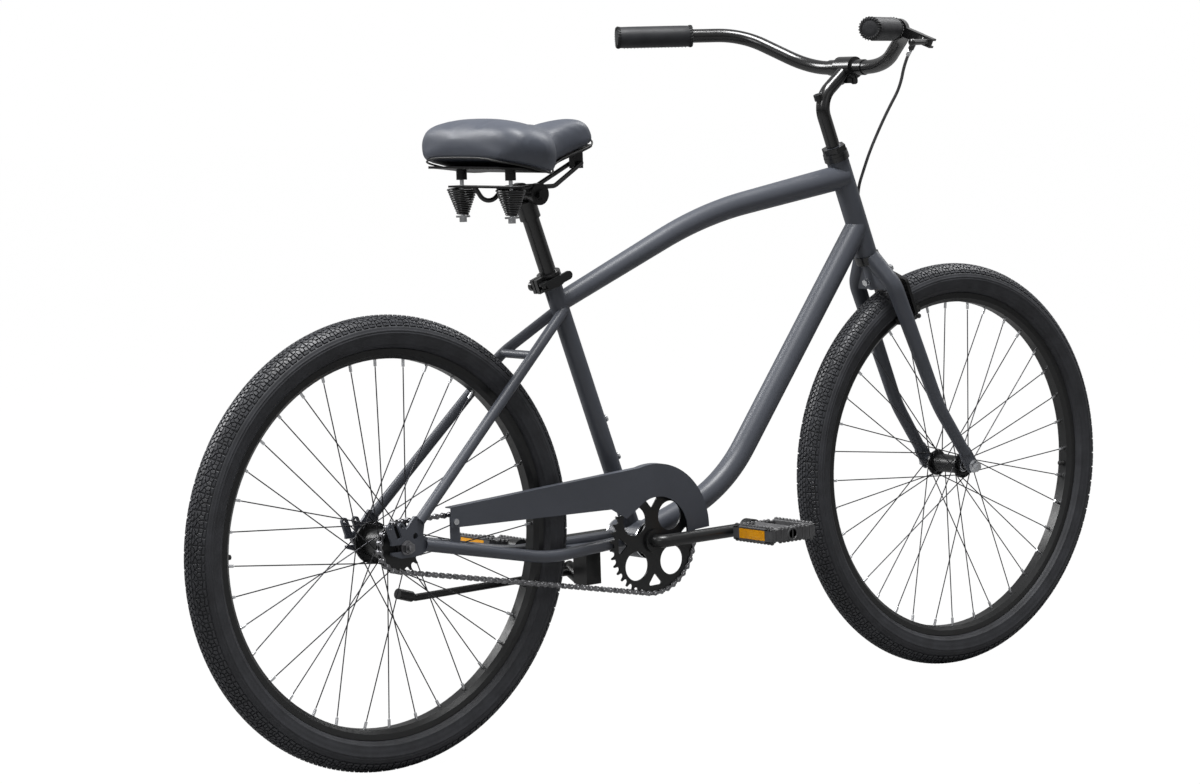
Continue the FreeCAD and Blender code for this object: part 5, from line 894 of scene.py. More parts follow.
def swollen(mesh, saddle):
    """The cover drawn in and then blown up as cloth, with its lower edge and underside held still."""
    holder = bpy.data.objects.new("saddle_cloth", mesh)
    bpy.context.collection.objects.link(holder)
    even = holder.modifiers.new("even", "REMESH")
    even.mode = "VOXEL"
    even.voxel_size = saddle.cloth_grid
    grid = evaluated(holder)
    holder.modifiers.remove(even)
    holder.data = grid
    above = [vertex.co.z - hem_height(saddle, vertex.co.x) - saddle.held_band for vertex in grid.vertices]
    normals = [vertex.normal.copy() for vertex in grid.vertices]
    for vertex, normal, rise in zip(grid.vertices, normals, above):
        share = min(1.0, max(0.0, rise / saddle.held_band))
        vertex.co -= normal * (saddle.swell * saddle.drawn_in * share)
    start = [vertex.co.copy() for vertex in grid.vertices]
    held = holder.vertex_groups.new(name="held")
    held.add([place for place, rise in enumerate(above) if rise <= 0], 1.0, "REPLACE")
    cloth = holder.modifiers.new("cloth", "CLOTH")
    cloth.settings.use_pressure = True
    cloth.settings.uniform_pressure_force = saddle.pressure
    cloth.settings.effector_weights.gravity = 0
    cloth.settings.vertex_group_mass = held.name
    settled = holder.modifiers.new("settled", "SMOOTH")
    settled.iterations = saddle.settling
    for step in range(saddle.cloth_steps):
        bpy.context.scene.frame_set(1 + step)
    blown = evaluated(holder)
    bpy.data.objects.remove(holder)
    bpy.context.scene.frame_set(1)
    for vertex, place in zip(blown.vertices, start):
        move = vertex.co - place
        if move.length > saddle.swell:
            vertex.co = place + move.normalized() * saddle.swell
    blown.name = mesh.name
    return blown


def tube_along(path, radius, steps=10, loop=False):
    """A round tube along points."""
    rings = []
    for number, point in enumerate(path):
        before = path[number - 1] if number or loop else point
        after = path[(number + 1) % len(path)] if number + 1 < len(path) or loop else point
        rings.append(circle_about(point, *frame_of(after - before), radius, steps))
    return lofted(rings, ring_loop=loop)


def hem_path(saddle):
    """The cover's lower edge, once round."""
    rings = [saddle_ring(saddle, station) for station in SADDLE_STATIONS]
    last = 2 * len(SADDLE_SECTION) - 2
    right = [ring[0] for ring in rings]
    left = [ring[last] for ring in reversed(rings)]
    return right + left


def spring_mesh(saddle, material):
    """Two conical coil springs of round wire."""
    growth = Growth("saddle_springs_growth")
    spiral = growth.add("GeometryNodeCurveSpiral")
    growth.feed(
        spiral,
        Resolution=28,
        Rotations=growth.input("Turns", "Float", float(saddle.spring_turns)),
        Start_Radius=growth.input("Small radius", "Float", saddle.spring_small),
        End_Radius=growth.input("Large radius", "Float", saddle.spring_large),
        Height=growth.input("Lift", "Float", saddle.spring_lift),
    )
    wire = growth.add("GeometryNodeCurvePrimitiveCircle")
    growth.feed(wire, Resolution=10, Radius=growth.input("Wire", "Float", saddle.spring_wire))
    sweep = growth.add("GeometryNodeCurveToMesh")
    growth.feed(sweep, Curve=spiral.outputs["Curve"], Profile_Curve=wire.outputs["Curve"], Fill_Caps=True)
    gauge = growth.input("Gauge", "Float", 2 * saddle.spring_gauge)
    across = growth.calculate("MULTIPLY", growth.calculate("SUBTRACT", 0.5, growth.index()), gauge)
    place = growth.vector(saddle.spring_x, across, saddle.spring_low)
    pair = growth.repeat(2, sweep.outputs["Mesh"], (0, 0, 0), place)
    mesh = growth.grown("saddle_spring_wires", material, pair)
    mesh.polygons.foreach_set("use_smooth", [True] * len(mesh.polygons))
    return mesh


# Chain

def chain_places(drive, ring, sprocket):
    """The rollers' places round the chainring and the sprocket, counted in whole pitches."""
    teeth = (drive.ring_teeth, drive.sprocket_teeth)
    big, small = (drive.pitch / (2 * math.sin(math.pi / each)) for each in teeth)
    line = ring - sprocket
    distance = math.hypot(line.x, line.z)
    tilt = math.asin((big - small) / distance)
    heading = math.atan2(line.z, line.x)
    ring_pitches = drive.ring_teeth * (0.5 + tilt / math.pi)
    sprocket_pitches = drive.sprocket_teeth * (0.5 - tilt / math.pi)
    run = math.sqrt(distance ** 2 - (big - small) ** 2)
    number = 2 * round((ring_pitches + sprocket_pitches + 2 * run / drive.pitch) / 2)
    run_pitches = (number - ring_pitches - sprocket_pitches) / 2
    top = heading + math.pi / 2 + tilt
    bottom = heading - math.pi / 2 - tilt

    def at(centre, radius, turn):
        x = centre.x + radius * math.cos(turn)
        return Vector((x, -drive.chain_line, centre.z + radius * math.sin(turn)))

    places = []
    for step in range(number):
        if step <= ring_pitches:
            place = at(ring, big, top - step * 2 * math.pi / drive.ring_teeth)
        elif step <= ring_pitches + run_pitches:
            share = (step - ring_pitches) / run_pitches
            place = at(ring, big, bottom).lerp(at(sprocket, small, bottom), share)
        elif step <= ring_pitches + run_pitches + sprocket_pitches:
            beyond = step - ring_pitches - run_pitches
            place = at(sprocket, small, bottom - beyond * 2 * math.pi / drive.sprocket_teeth)
        else:
            share = (step - ring_pitches - run_pitches - sprocket_pitches) / run_pitches
            place = at(sprocket, small, top).lerp(at(ring, big, top), share)
        places.append(place)
    return places


def plate_outline(drive):
    """A waisted plate round two rollers, along X from the origin."""
    outline = []
    for end, first in ((0.0, 90), (drive.pitch, 270)):
        for step in range(9):
            turn = math.radians(first + 22.5 * step)
            outline.append((end + drive.plate_half * math.cos(turn), drive.plate_half * math.sin(turn)))
        for step in range(1, 6):
            share = step / 6
            half = drive.plate_half - (drive.plate_half - drive.plate_waist) * math.sin(math.pi * share) ** 2
            along = share if first == 90 else 1 - share
            outline.append((drive.pitch * along, -half if first == 90 else half))
    return outline


def link_mesh(drive, inner):
    """One link: two plates with rollers between them, or with the pins that hold its neighbours."""
    low = drive.inner_half if inner else drive.inner_half + drive.plate_thickness * 1.15
    high = low + drive.plate_thickness
    edge = drive.plate_thickness * 0.2
    outline = plate_outline(drive)
    shapes = []
    for side in (1, -1):
        rings = []
        for across, shrink in ((low, 0.94), (low + edge, 1.0), (high - edge, 1.0), (high, 0.94)):
            ring = [Vector((x, side * across, z * shrink)) for x, z in outline]
            rings.append(ring)
        shapes.append(lofted(rings if side < 0 else rings[::-1]))
    for end in (0.0, drive.pitch):
        if inner:
            profile = [(0, drive.roller_radius), (2 * low, drive.roller_radius)]
        else:
            pin = drive.pin_radius
            head = 0.5 * pin
            profile = [(-head, pin * 0.6), (0, pin), (2 * high, pin), (2 * high + head, pin * 0.6)]
        reach = low if inner else high
        shapes.append(lathe(Vector((end, -reach, 0)), ACROSS, profile, 14))
    return mesh_from("inner_link" if inner else "outer_link", *merged(*shapes), smooth=False)


def chain_mesh(drive, ring, sprocket, material):
    """The chain: inner and outer links in turn from roller to roller."""
    places = chain_places(drive, ring, sprocket)
    steps = [after - place for place, after in zip(places, places[1:] + places[:1])]
    path = turned_points("chain_path", places, [-math.atan2(step.z, step.x) for step in steps])
    growth = Growth("chain_growth")
    rotation = growth.turned("y")
    odd = growth.calculate("MODULO", growth.index(), 2.0)
    even = growth.calculate("SUBTRACT", 1.0, odd)
    rows = []
    for name, chosen, inner in (("Inner link", even, True), ("Outer link", odd, False)):
        link = growth.model(name, template(name, link_mesh(drive, inner)))
        spread = growth.add("GeometryNodeInstanceOnPoints")
        points = growth.entry.outputs["Geometry"]
        growth.feed(spread, Points=points, Selection=chosen, Instance=link, Rotation=rotation)
        rows.append(spread.outputs["Instances"])
    return growth.grown("chain_links", material, *rows, base=path)


# Pedals

def slab(centre, size, edge):
    """A box with its edges cut off."""
    half = Vector(size) / 2
    rings = []
    for level, inset in ((-half.z, edge), (edge - half.z, 0), (half.z - edge, 0), (half.z, edge)):
        x = half.x - inset
        y = half.y - inset
        corners = [(x, edge - y), (x, y - edge), (x - edge, y), (edge - x, y)]
        corners += [(-along, -across) for along, across in corners]
        rings.append([Vector(centre) + Vector((along, across, level)) for along, across in corners])
    return lofted(rings)


def pedal_body(pedal, outward):
    """Rails with a frame round each reflector, end walls with ribs, and the barrel with its cap."""
    reach = pedal.span / 2
    side = pedal.width / 2
    high = pedal.rail_height
    edge = pedal.edge
    inlet = pedal.reflector_depth
    frame_height = (high - pedal.reflector_height) / 2
    frame_side = side - pedal.reflector_width / 2
    shapes = []
    for end in (1, -1):
        back = pedal.rail - inlet
        shapes.append(slab((end * (reach - inlet - back / 2), 0, 0), (back, pedal.width, high), edge))
        front = end * (reach - inlet / 2 - edge / 2)
        for way in (1, -1):
            level = way * (high - frame_height) / 2
            shapes.append(slab((front, 0, level), (inlet + edge, pedal.width, frame_height), edge))
            middle = way * (side - frame_side / 2)
            shapes.append(slab((front, middle, 0), (inlet + edge, frame_side, high), edge))
            wall = way * (side - pedal.wall / 2 - edge)
            length = reach - pedal.rail
            shapes.append(slab((end * length / 2, wall, 0), (length, pedal.wall, pedal.wall_height), edge))
            rib = end * length * 0.62
            rib_size = (pedal.wall * 0.7, 2 * edge, pedal.wall_height)
            shapes.append(slab((rib, way * (side - edge), 0), rib_size, edge / 2))
    radius = pedal.barrel
    cap = [(0, radius * 0.9), (edge, radius), (pedal.width - edge, radius), (pedal.width, radius * 0.92)]
    sunk = pedal.width - edge
    cap += [(pedal.width, radius * 0.72), (sunk, radius * 0.66), (sunk, radius * 0.3)]
    shapes.append(lathe(Vector((0, -outward * side, 0)), ACROSS * outward, cap, 28))
    return merged(*shapes)


def pedal_mesh(name, pedal, centre, outward, material):
    """A pedal whose upper and lower edges carry rows of teeth, turned about its spindle as it hangs."""
    pitch = pedal.left_pitch if outward > 0 else 0.0
    hang = Matrix.Translation(centre) @ Matrix.Rotation(pitch, 4, "Y")
    points, faces = pedal_body(pedal, outward)
    body = mesh_from(name + "_body", [hang @ point for point in points], faces, smooth=False)
    rail_x = (pedal.span - pedal.rail) / 2
    wall_y = (pedal.width - pedal.wall) / 2 - pedal.edge
    feet = []
    for number in range(pedal.rail_teeth):
        along = pedal.tooth_pitch * (number - (pedal.rail_teeth - 1) / 2)
        feet += [(end * rail_x, along, pedal.rail_height / 2) for end in (1, -1)]
    for number in range(pedal.wall_teeth):
        along = pedal.tooth_pitch * (number - (pedal.wall_teeth - 1) / 2)
        feet += [(along, way * wall_y, pedal.wall_height / 2) for way in (1, -1)]
    places = [hang @ Vector((x, y, way * (z - pedal.edge))) for way in (1, -1) for x, y, z in feet]
    turns = [0.0] * len(feet) + [math.pi] * len(feet)
    base = [(-0.28, -0.36), (0.28, -0.36), (0.28, 0.36), (-0.28, 0.36)]
    rise = pedal.tooth_height + pedal.edge
    levels = ((0.0, 1.0), (0.6 * rise, 0.9), (rise, 0.5))
    rings = []
    for level, share in levels:
        rings.append([Vector((x, y, 0)) * (pedal.tooth_pitch * share) + UP * level for x, y in base])
    tooth = mesh_from(name + "_tooth", *lofted(rings), smooth=False)
    growth = Growth(name + "_growth")
    spread = growth.add("GeometryNodeInstanceOnPoints")
    teeth = growth.model("Tooth", template(name + "_tooth", tooth))
    growth.feed(spread, Points=growth.entry.outputs["Geometry"], Instance=teeth,
                Rotation=growth.turned("x", y=pitch))
    solid = growth.model("Body", template(name + "_body", body))
    return growth.grown(name, material, solid, spread.outputs["Instances"],
                        base=turned_points(name + "_feet", places, turns))


# Grips and brake cable

# left end of the bar, its direction there, the steering axis, the casing's route from lever to caliper
BAR_END = Vector((0.139, 0.298, 1.057))
BAR_ALONG = Vector((-0.863025, 0.505066, 0.009807))
STEER = Vector((-0.35021, 0, 0.93667))
CABLE_ROUTE = (
    (0.2913, -0.2264, 1.0245), (0.2925, -0.2109, 1.0049), (0.311, -0.180, 0.966), (0.320, -0.145, 0.934),
    (0.333, -0.110, 0.904), (0.349, -0.068, 0.865), (0.368, -0.032, 0.833), (0.388, 0.004, 0.802),
    (0.404, 0.022, 0.764), (0.4252, 0.030, 0.7236), (0.4339, 0.030, 0.7001),
)
WIRE_RADIUS = 0.8 * MILLIMETRE
LACE_SWELL = (0.55, 1.0, 1.0, 0.55)
LACE_CORNERS = 6


def grip_place(side, grips):
    """The matrix that takes a grip from its own axis to its end of the bar, seam below."""
    outward = Vector((BAR_ALONG.x, side * BAR_ALONG.y, BAR_ALONG.z))
    end = Vector((BAR_END.x, side * BAR_END.y, BAR_END.z))
    below = (-UP - outward * outward.dot(-UP)).normalized()
    beside = outward.cross(below)
    turn = Matrix((below, beside, outward)).transposed().to_4x4()
    return Matrix.Translation(end - outward * grips.grip_length) @ turn


def sleeve_mesh(grips):
    """One wrapped grip on its own axis: a soft barrel with drawn-in edges and a closed end."""
    reach = grips.grip_length
    full = grips.radius
    cap = grips.end_cap
    draw = 0.9 * MILLIMETRE
    edge = 4.5 * MILLIMETRE
    profile = [(0, full * 0.66), (0, full - 2 * draw), (draw, full - draw), (edge * 0.6, full - draw * 0.4)]
    profile += [(edge, full - draw), (edge * 1.5, full - draw * 0.3)]
    profile += [(reach * share, full) for share in (0.15, 0.3, 0.5, 0.7, 0.85)]
    profile += [(reach + cap - edge * 1.5, full - draw * 0.3), (reach + cap - edge, full - draw)]
    profile += [(reach + cap - edge * 0.5, full - draw * 0.6), (reach + cap - draw, full - 1.6 * draw)]
    profile += [(reach + cap, full - 3 * draw), (reach + cap - draw, full * 0.74)]
    profile += [(reach + cap, full * share) for share in (0.62, 0.3, 0.05)]
    points, faces = lathe(Vector((0, 0, 0)), UP, profile, 48)
    return mesh_from("grip_sleeve", points, faces)


def lace_mesh(path, radius):
    """One lace of the grip's lacing, thicker in its middle."""
    rings = []
    for number, point in enumerate(path):
        before = path[max(0, number - 1)]
        after = path[min(len(path) - 1, number + 1)]
        swell = LACE_SWELL[number] * radius
        rings.append(circle_about(point, *frame_of(after - before), swell, LACE_CORNERS))
    points, faces = lofted(rings)
    return mesh_from("lace", points, faces)


def laces_mesh(grips, material):
    """All the laces of one grip on its own axis: round both edges and along the seam."""
    full = grips.radius
    reach = grips.grip_length + grips.end_cap
    slant = math.pi / grips.ring_stitches
    bite = 6.0 * MILLIMETRE
    rise = 0.25 * MILLIMETRE

    def on_sleeve(radius, turn, along):
        return Vector((radius * math.cos(turn), radius * math.sin(turn), along))

    far = [on_sleeve(full - rise, 0, reach - bite), on_sleeve(full + rise, slant * 0.6, reach - bite * 0.35)]
    far.append(on_sleeve(full - bite * 0.25, slant * 1.2, reach + rise))
    far.append(on_sleeve(full * 0.72, slant * 1.8, reach - rise))
    near = [on_sleeve(full - rise, 0, bite), on_sleeve(full + rise, slant * 0.6, bite * 0.5)]
    near += [on_sleeve(full - rise, slant * 1.2, rise), on_sleeve(full - bite * 0.4, slant * 1.8, rise)]
    spread = bite * 0.5 / full
    seam = []
    for lift, over, along in ((-1, -1, -0.15), (1, -0.4, -0.05), (1, 0.4, 0.05), (-1, 1, 0.15)):
        seam.append(on_sleeve(full + lift * rise, spread * over, bite * along))
    growth = Growth("grip_lacing_growth")
    ring_count = growth.input("Ring laces", "Int", grips.ring_stitches)
    seam_count = growth.input("Seam laces", "Int", grips.seam_stitches)
    step = growth.calculate("DIVIDE", 2 * math.pi, ring_count)
    turn = growth.vector(z=growth.calculate("MULTIPLY", growth.index(), step))
    lenders = []
    laces = []
    for name, path in (("far", far), ("near", near)):
        lender = template("lace_" + name, lace_mesh(path, grips.stitch_radius))
        lenders.append(lender)
        laces.append(growth.repeat(ring_count, growth.model("Lace " + name, lender), turn, (0, 0, 0)))
    lender = template("lace_seam", lace_mesh(seam, grips.stitch_radius))
    lenders.append(lender)
    run = growth.input("Seam run", "Float", reach - 3 * bite)
    pitch = growth.calculate("DIVIDE", run, seam_count)
    along = growth.calculate("ADD", growth.calculate("MULTIPLY", growth.index(), pitch), 1.8 * bite)
    lace = growth.model("Lace seam", lender)
    laces.append(growth.repeat(seam_count, lace, (0, 0, 0), growth.vector(z=along)))
    mesh = growth.grown("grip_laces", material, *laces)
    for lender in lenders:
        bpy.data.objects.remove(lender)
    return mesh


def both_sides(name, make, grips):
    """A mesh at both ends of the bar."""
    work = bmesh.new()
    material = None
    for side in (1, -1):
        mesh = make()
        mesh.transform(grip_place(side, grips))
        work.from_mesh(mesh)
        if mesh.materials:
            material = mesh.materials[0]
        bpy.data.meshes.remove(mesh)
    result = bpy.data.meshes.new(name)
    work.to_mesh(result)
    work.free()
    result.polygons.foreach_set("use_smooth", [True] * len(result.polygons))
    if material:
        result.materials.append(material)
    return result


def cable_curve(grips, material):
    """The cable's casing as one smooth line along its route."""
    curve = bpy.data.curves.new("brake_cable_casing", "CURVE")
    curve.dimensions = "3D"
    curve.bevel_depth = grips.cable_radius
    curve.bevel_resolution = 4
    curve.resolution_u = 10
    curve.use_fill_caps = True
    spline = curve.splines.new("NURBS")
    spline.points.add(len(CABLE_ROUTE) - 1)
    for point, place in zip(spline.points, CABLE_ROUTE):
        point.co = (*place, 1)
    spline.order_u = 3
    spline.use_endpoint_u = True
    curve.materials.append(material)
    return curve


def cable_ends_mesh(grips):
    """A ferrule at each end of the casing, and the bare wire below the stop."""
    radius = grips.cable_radius
    first = Vector(CABLE_ROUTE[0])
    last = Vector(CABLE_ROUTE[-1])
    ferrule = [(0, radius * 0.4), (0, radius * 1.3)]
    ferrule += [(5 * radius, radius * 1.3), (5.2 * radius, radius * 1.05)]
    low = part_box("brake_cable")[0][2]
    drop = (last.z - low) / STEER.z
    wire = [(0, WIRE_RADIUS), (drop, WIRE_RADIUS)]
    leaving = (Vector(CABLE_ROUTE[1]) - first).normalized()
    shapes = [lathe(first, leaving, ferrule, 20), lathe(last, STEER, ferrule, 20)]
    shapes.append(lathe(last, -STEER, wire, 10))
    return mesh_from("brake_cable_ends", *merged(*shapes))


# Where each finish goes

FINISHES = {
    "frame_paint": (frame_paint, "frame_paint"),
    "gloss_black": (gloss_black, "gloss_black"),
    "satin_black": (satin_black, "satin_black"),
    "bright_steel": (bright_steel, "bright_steel"),
    "dark_steel": (dark_steel, "dark_steel"),
    "tyre_rubber": (tyre_rubber, "tyre"),
    "tread_rubber": (tread_rubber, "tread"),
    "soft_rubber": (soft_rubber, "rubber"),
    "moulded_plastic": (moulded_plastic, "plastic"),
    "amber_plastic": (amber_plastic, "amber"),
    "saddle_vinyl": (saddle_vinyl, "vinyl"),
    "grip_cover": (grip_cover, "grip"),
    "lacing": (lacing, "thread"),
}
# the finish of each material slot, and then the nodes whose finish isn't their slot's
SLOT_FINISH = {
    "frame_paint": "frame_paint",
    "black_metal": "satin_black",
    "bright_steel": "bright_steel",
    "dark_steel": "dark_steel",
    "tyre_rubber": "tyre_rubber",
    "soft_rubber": "soft_rubber",
    "black_plastic": "moulded_plastic",
    "amber_plastic": "amber_plastic",
    "grip_cover": "grip_cover",
    "saddle_vinyl": "saddle_vinyl",
}
NODE_FINISH = {
    "gloss_black": (
        "headset_cups", "headset_races", "stem", "handlebar", "seatpost", "saddle_clamp", "saddle_rails",
        "brake_lever", "brake_perch", "seat_clamp", "caliper_arm_left", "caliper_arm_right",
    ),
    "satin_black": ("crank_fittings", "rear_sprocket"),
    "dark_steel": ("rear_axle",),
}
# heights where plated metal below changes to black paint above, and radius where the spokes' nipples start
TONE_HEIGHTS = {"fork_bolts": 0.80, "saddle_pan": 0.8525}
NIPPLE_RADIUS = 0.258


def finish(name):
    """A finish, made once."""
    if Finish.prefix + name in bpy.data.materials:
        return bpy.data.materials[Finish.prefix + name]
    make, shade = FINISHES[name]
    return make(tuple(getattr(settings("cruiser_colours"), shade)))


def axle_of(wheel):
    """A wheel's centre, from its tyre's box."""
    low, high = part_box(wheel + "_tyre")
    return (Vector(low) + Vector(high)) / 2


# Operators

class CruiserOperator(bpy.types.Operator):
    """A step in dressing the bicycle."""
    bl_options = {"REGISTER", "UNDO"}

    def execute(self, context):
        self.build()
        return {"FINISHED"}


class CRUISER_OT_finishes(CruiserOperator):
    """Give every solid of the bicycle its finish"""
    bl_idname = "cruiser.finishes"
    bl_label = "Finish the solids"

    def build(self):
        colours = settings("cruiser_colours")
        for subpart in frame["record"]["subparts"]:
            node = subpart["node"]
            chosen = [name for name, nodes in NODE_FINISH.items() if node in nodes]
            if chosen:
                material = finish(chosen[0])
            elif node in TONE_HEIGHTS:
                shades = (tuple(colours.bright_steel), tuple(colours.gloss_black))
                material = two_tone(node + "_finish", *shades, TONE_HEIGHTS[node])
            elif node.endswith("_spokes"):
                axle = axle_of(node.split("_")[0])
                shades = (tuple(colours.spoke), tuple(colours.bright_steel))
                material = spoke_steel(*shades, axle.x, axle.z, NIPPLE_RADIUS)
            else:
                material = finish(SLOT_FINISH[subpart["material_slot"]])
            solid = frame["nodes"][node]
            solid.data.materials.clear()
            solid.data.materials.append(material)


class CRUISER_OT_tyres(CruiserOperator):
    """Make both tyres with their tread, and the air tubes with their valves"""
    bl_idname = "cruiser.tyres"
    bl_label = "Make the tyres"

    valve_turns = {"front": math.radians(-5.5), "rear": math.radians(177.5)}

    def build(self):
        tyre = settings("cruiser_tyres")
        for wheel, valve_turn in self.valve_turns.items():
            axle = axle_of(wheel)
            body = wheel + "_wheel"
            mesh = tyre_mesh(wheel + "_tyre_tread", tyre, axle, finish("tyre_rubber"))
            # the blocks take a slightly lighter colour: a painted highlight on their tops, with a smoother
            # gloss
            rub_tread(mesh, finish("tread_rubber"))
            new_piece(wheel + "_tyre_tread", mesh, body, [wheel + "_tyre"])
            mesh = air_tube_mesh(wheel + "_air_tube", tyre, axle, valve_turn)
            nodes = [wheel + "_inner_tube"]
            new_piece(wheel + "_air_tube", mesh, body, nodes, finish("soft_rubber"))


class CRUISER_OT_saddle(CruiserOperator):
    """Make the padded saddle cover with its hem, and the springs under it"""
    bl_idname = "cruiser.saddle"
    bl_label = "Make the saddle"

    spring_foot = 0.799
    spring_top = 0.841

    def build(self):
        saddle = settings("cruiser_saddle")
        skin = subdivided(swollen(subdivided(saddle_mesh(saddle), 2), saddle), 1)
        vinyl = finish("saddle_vinyl")
        cover = new_piece("saddle_skin", skin, "saddle_top", ["saddle_cover"], vinyl)
        points, faces = tube_along(hem_path(saddle), saddle.hem_wire, loop=True)
        hem = mesh_from("saddle_hem", points, faces)
        new_piece("saddle_hem", subdivided(hem, 1), "saddle_top", (), finish("lacing"))
        wires = spring_mesh(saddle, finish("gloss_black"))
        springs = new_piece("saddle_spring_wires", wires, None, ["saddle_springs"])
        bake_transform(springs)


class CRUISER_OT_chain(CruiserOperator):
    """Lay the chain round the chainring and the sprocket"""
    bl_idname = "cruiser.chain"
    bl_label = "Lay the chain"

    def build(self):
        low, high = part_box("chainring")
        ring = (Vector(low) + Vector(high)) / 2
        mesh = chain_mesh(settings("cruiser_drive"), ring, axle_of("rear"), finish("dark_steel"))
        new_piece("chain_links", mesh, "frame", ["chain"])


class CRUISER_OT_pedals(CruiserOperator):
    """Make both pedals with their teeth"""
    bl_idname = "cruiser.pedals"
    bl_label = "Make the pedals"

    def build(self):
        pedal = settings("cruiser_pedals")
        for side, outward in (("left", 1), ("right", -1)):
            node = "pedal_" + side
            low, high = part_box(node)
            centre = (Vector(low) + Vector(high)) / 2
            mesh = pedal_mesh(node + "_cage", pedal, centre, outward, finish("moulded_plastic"))
            new_piece(node + "_cage", mesh, side + "_pedal", [node])


class CRUISER_OT_grips(CruiserOperator):
    """Make the wrapped grips with their lacing"""
    bl_idname = "cruiser.grips"
    bl_label = "Make the grips"

    def build(self):
        grips = settings("cruiser_grips")
        sleeves = both_sides("grip_sleeves", lambda: sleeve_mesh(grips), grips)
        new_piece("grip_sleeves", sleeves, "fork_assembly", ["grips"], finish("grip_cover"))
        laces = both_sides("grip_laces", lambda: laces_mesh(grips, finish("lacing")), grips)
        new_piece("grip_laces", laces, "fork_assembly", (), finish("lacing"))


class CRUISER_OT_cable(CruiserOperator):
    """Run the brake cable from the lever to the caliper"""
    bl_idname = "cruiser.cable"
    bl_label = "Run the brake cable"

    def build(self):
        grips = settings("cruiser_grips")
        curve = cable_curve(grips, finish("moulded_plastic"))
        casing = new_piece("brake_cable_casing", curve, "fork_assembly", ["brake_cable"])
        tips = cable_ends_mesh(grips)
        steel = finish("bright_steel")
        ends = new_piece("brake_cable_ends", tips, "fork_assembly", (), steel)


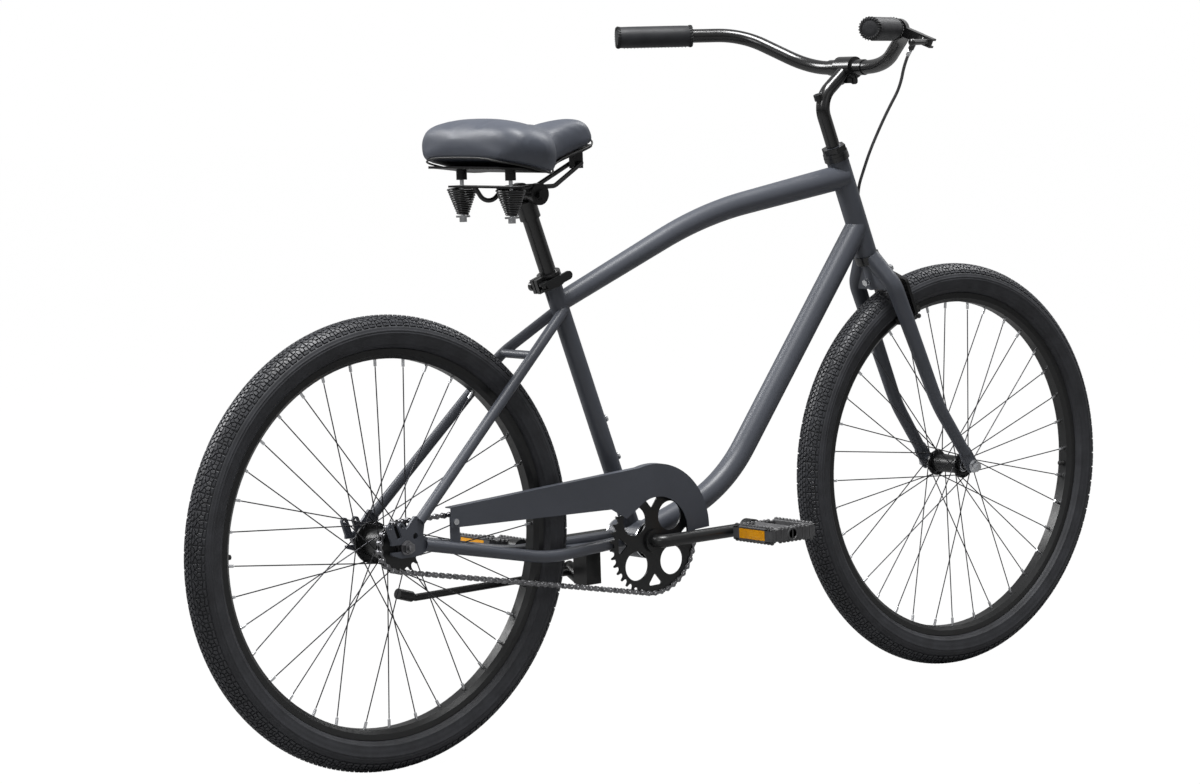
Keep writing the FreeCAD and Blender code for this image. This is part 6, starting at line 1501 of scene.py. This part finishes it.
class CRUISER_OT_stage(CruiserOperator):
    """Set the pale floor, the soft lights, the white world and the camera"""
    bl_idname = "cruiser.stage"
    bl_label = "Set the stage"

    camera_place = Vector((-3.4156, -4.0579, 1.0405))
    camera_target = Vector((-0.1633, 0.0, 0.5196))
    camera_roll = math.radians(-1.88)
    camera_lens = 102.84
    floor_half = 30.0
    floor_height = -0.0005
    floor_seen_white = 0.95
    floor_white = 1.05
    lamps = (
        # name, place, size, watts
        ("key_light", (-2.4, 2.7, 3.1), 1.7, 150.0),
        ("overhead_light", (-0.5, -0.6, 4.4), 1.6, 230.0),
        ("side_light", (-4.6, -2.0, 2.6), 1.4, 36.0),
        ("front_light", (3.2, 0.4, 3.4), 1.6, 70.0),
        ("fill_light", (1.0, -5.0, 2.4), 2.6, 8.0),
    )
    lamp_aim = Vector((0.0, 0.0, 0.55))
    world_light = 0.09
    world_mirrored = 0.30

    def build(self):
        self.floor()
        self.world()
        for name, place, size, watts in self.lamps:
            self.lamp(name, Vector(place), size, watts)
        self.camera()
        bpy.context.scene.view_settings.view_transform = "Standard"

    def floor(self):
        half = self.floor_half
        corners = [(-half, -half, 0), (half, -half, 0), (half, half, 0), (-half, half, 0)]
        mesh = bpy.data.meshes.new("studio_floor")
        mesh.from_pydata(corners, [], [(0, 1, 2, 3)])
        mesh.materials.append(self.floor_material())
        floor = bpy.data.objects.new("studio_floor", mesh)
        bpy.context.collection.objects.link(floor)
        floor.location.z = self.floor_height

    def floor_material(self):
        pale = Finish("studio_floor", Specular_IOR_Level=0.0)
        base = tuple(settings("cruiser_colours").floor)
        pale.tint(base, pale.noise(0.6, 3), 0.01)
        pale.feed(pale.shader, Roughness=0.9)
        white = pale.add("ShaderNodeEmission")
        rays = pale.add("ShaderNodeLightPath")
        seen = pale.calculate("MULTIPLY", rays.outputs["Is Camera Ray"], self.floor_seen_white)
        pale.feed(white, Strength=self.floor_white)
        mix = pale.add("ShaderNodeMixShader")
        pale.join(seen, mix.inputs["Fac"])
        pale.join(pale.shader.outputs["BSDF"], mix.inputs[1])
        pale.join(white.outputs["Emission"], mix.inputs[2])
        output = next(node for node in pale.tree.nodes if node.type == "OUTPUT_MATERIAL")
        pale.join(mix.outputs["Shader"], output.inputs["Surface"])
        return pale.material

    def world(self):
        world = bpy.data.worlds.new("studio_world")
        bpy.context.scene.world = world
        world.use_nodes = True
        tree = NodeTree(world.node_tree)
        tree.tree.nodes.clear()
        glow = tree.add("ShaderNodeBackground")
        rays = tree.add("ShaderNodeLightPath")
        level = tree.add("ShaderNodeMapRange")
        mirrored = tree.add("ShaderNodeMath", operation="MULTIPLY_ADD")
        tree.join(rays.outputs["Is Glossy Ray"], mirrored.inputs[0])
        mirrored.inputs[1].default_value = self.world_mirrored
        tree.join(rays.outputs["Is Camera Ray"], mirrored.inputs[2])
        tree.feed(level, Value=mirrored.outputs["Value"], To_Min=self.world_light, To_Max=1.0)
        tree.feed(glow, Color=(1, 1, 1, 1), Strength=level.outputs["Result"])
        output = tree.add("ShaderNodeOutputWorld")
        tree.join(glow.outputs["Background"], output.inputs["Surface"])

    def lamp(self, name, place, size, watts):
        data = bpy.data.lights.new(name, "AREA")
        data.size = size
        data.energy = watts
        lamp = bpy.data.objects.new(name, data)
        lamp.location = place
        lamp.rotation_euler = (self.lamp_aim - place).to_track_quat("-Z", "Y").to_euler()
        bpy.context.collection.objects.link(lamp)

    def camera(self):
        data = bpy.data.cameras.new("camera")
        data.lens = self.camera_lens
        data.sensor_width = 36.0
        data.clip_end = 100.0
        camera = bpy.data.objects.new("camera", data)
        bpy.context.collection.objects.link(camera)
        forward = (self.camera_target - self.camera_place).normalized()
        level = forward.cross(UP).normalized()
        rise = level.cross(forward)
        right = level * math.cos(self.camera_roll) + rise * math.sin(self.camera_roll)
        top = rise * math.cos(self.camera_roll) - level * math.sin(self.camera_roll)
        turn = Matrix((right, top, -forward)).transposed().to_4x4()
        camera.matrix_world = Matrix.Translation(self.camera_place) @ turn
        bpy.context.scene.camera = camera


class CRUISER_PT_panel(bpy.types.Panel):
    """The steps that dress the bicycle, and the values they read"""
    bl_idname = "CRUISER_PT_panel"
    bl_label = "Beach cruiser"
    bl_space_type = "VIEW_3D"
    bl_region_type = "UI"
    bl_category = "Cruiser"

    def draw(self, context):
        for operator in OPERATORS:
            self.layout.operator(operator.bl_idname)
        for group in GROUPS:
            values = settings(group)
            for name in values.__annotations__:
                self.layout.prop(values, name)


OPERATORS = (
    CRUISER_OT_stage,
    CRUISER_OT_finishes,
    CRUISER_OT_cable,
    CRUISER_OT_tyres,
    CRUISER_OT_saddle,
    CRUISER_OT_chain,
    CRUISER_OT_pedals,
    CRUISER_OT_grips,
)


def register():
    for name, group in GROUPS.items():
        bpy.utils.register_class(group)
        setattr(bpy.types.Scene, name, PointerProperty(type=group))
    for kind in (*OPERATORS, CRUISER_PT_panel):
        bpy.utils.register_class(kind)


def unregister():
    for kind in reversed((*OPERATORS, CRUISER_PT_panel)):
        bpy.utils.unregister_class(kind)
    for name, group in reversed(GROUPS.items()):
        delattr(bpy.types.Scene, name)
        bpy.utils.unregister_class(group)


def main():
    register()
    for operator in OPERATORS:
        family, step = operator.bl_idname.split(".")
        getattr(getattr(bpy.ops, family), step)()


if __name__ == "__main__":
    main()
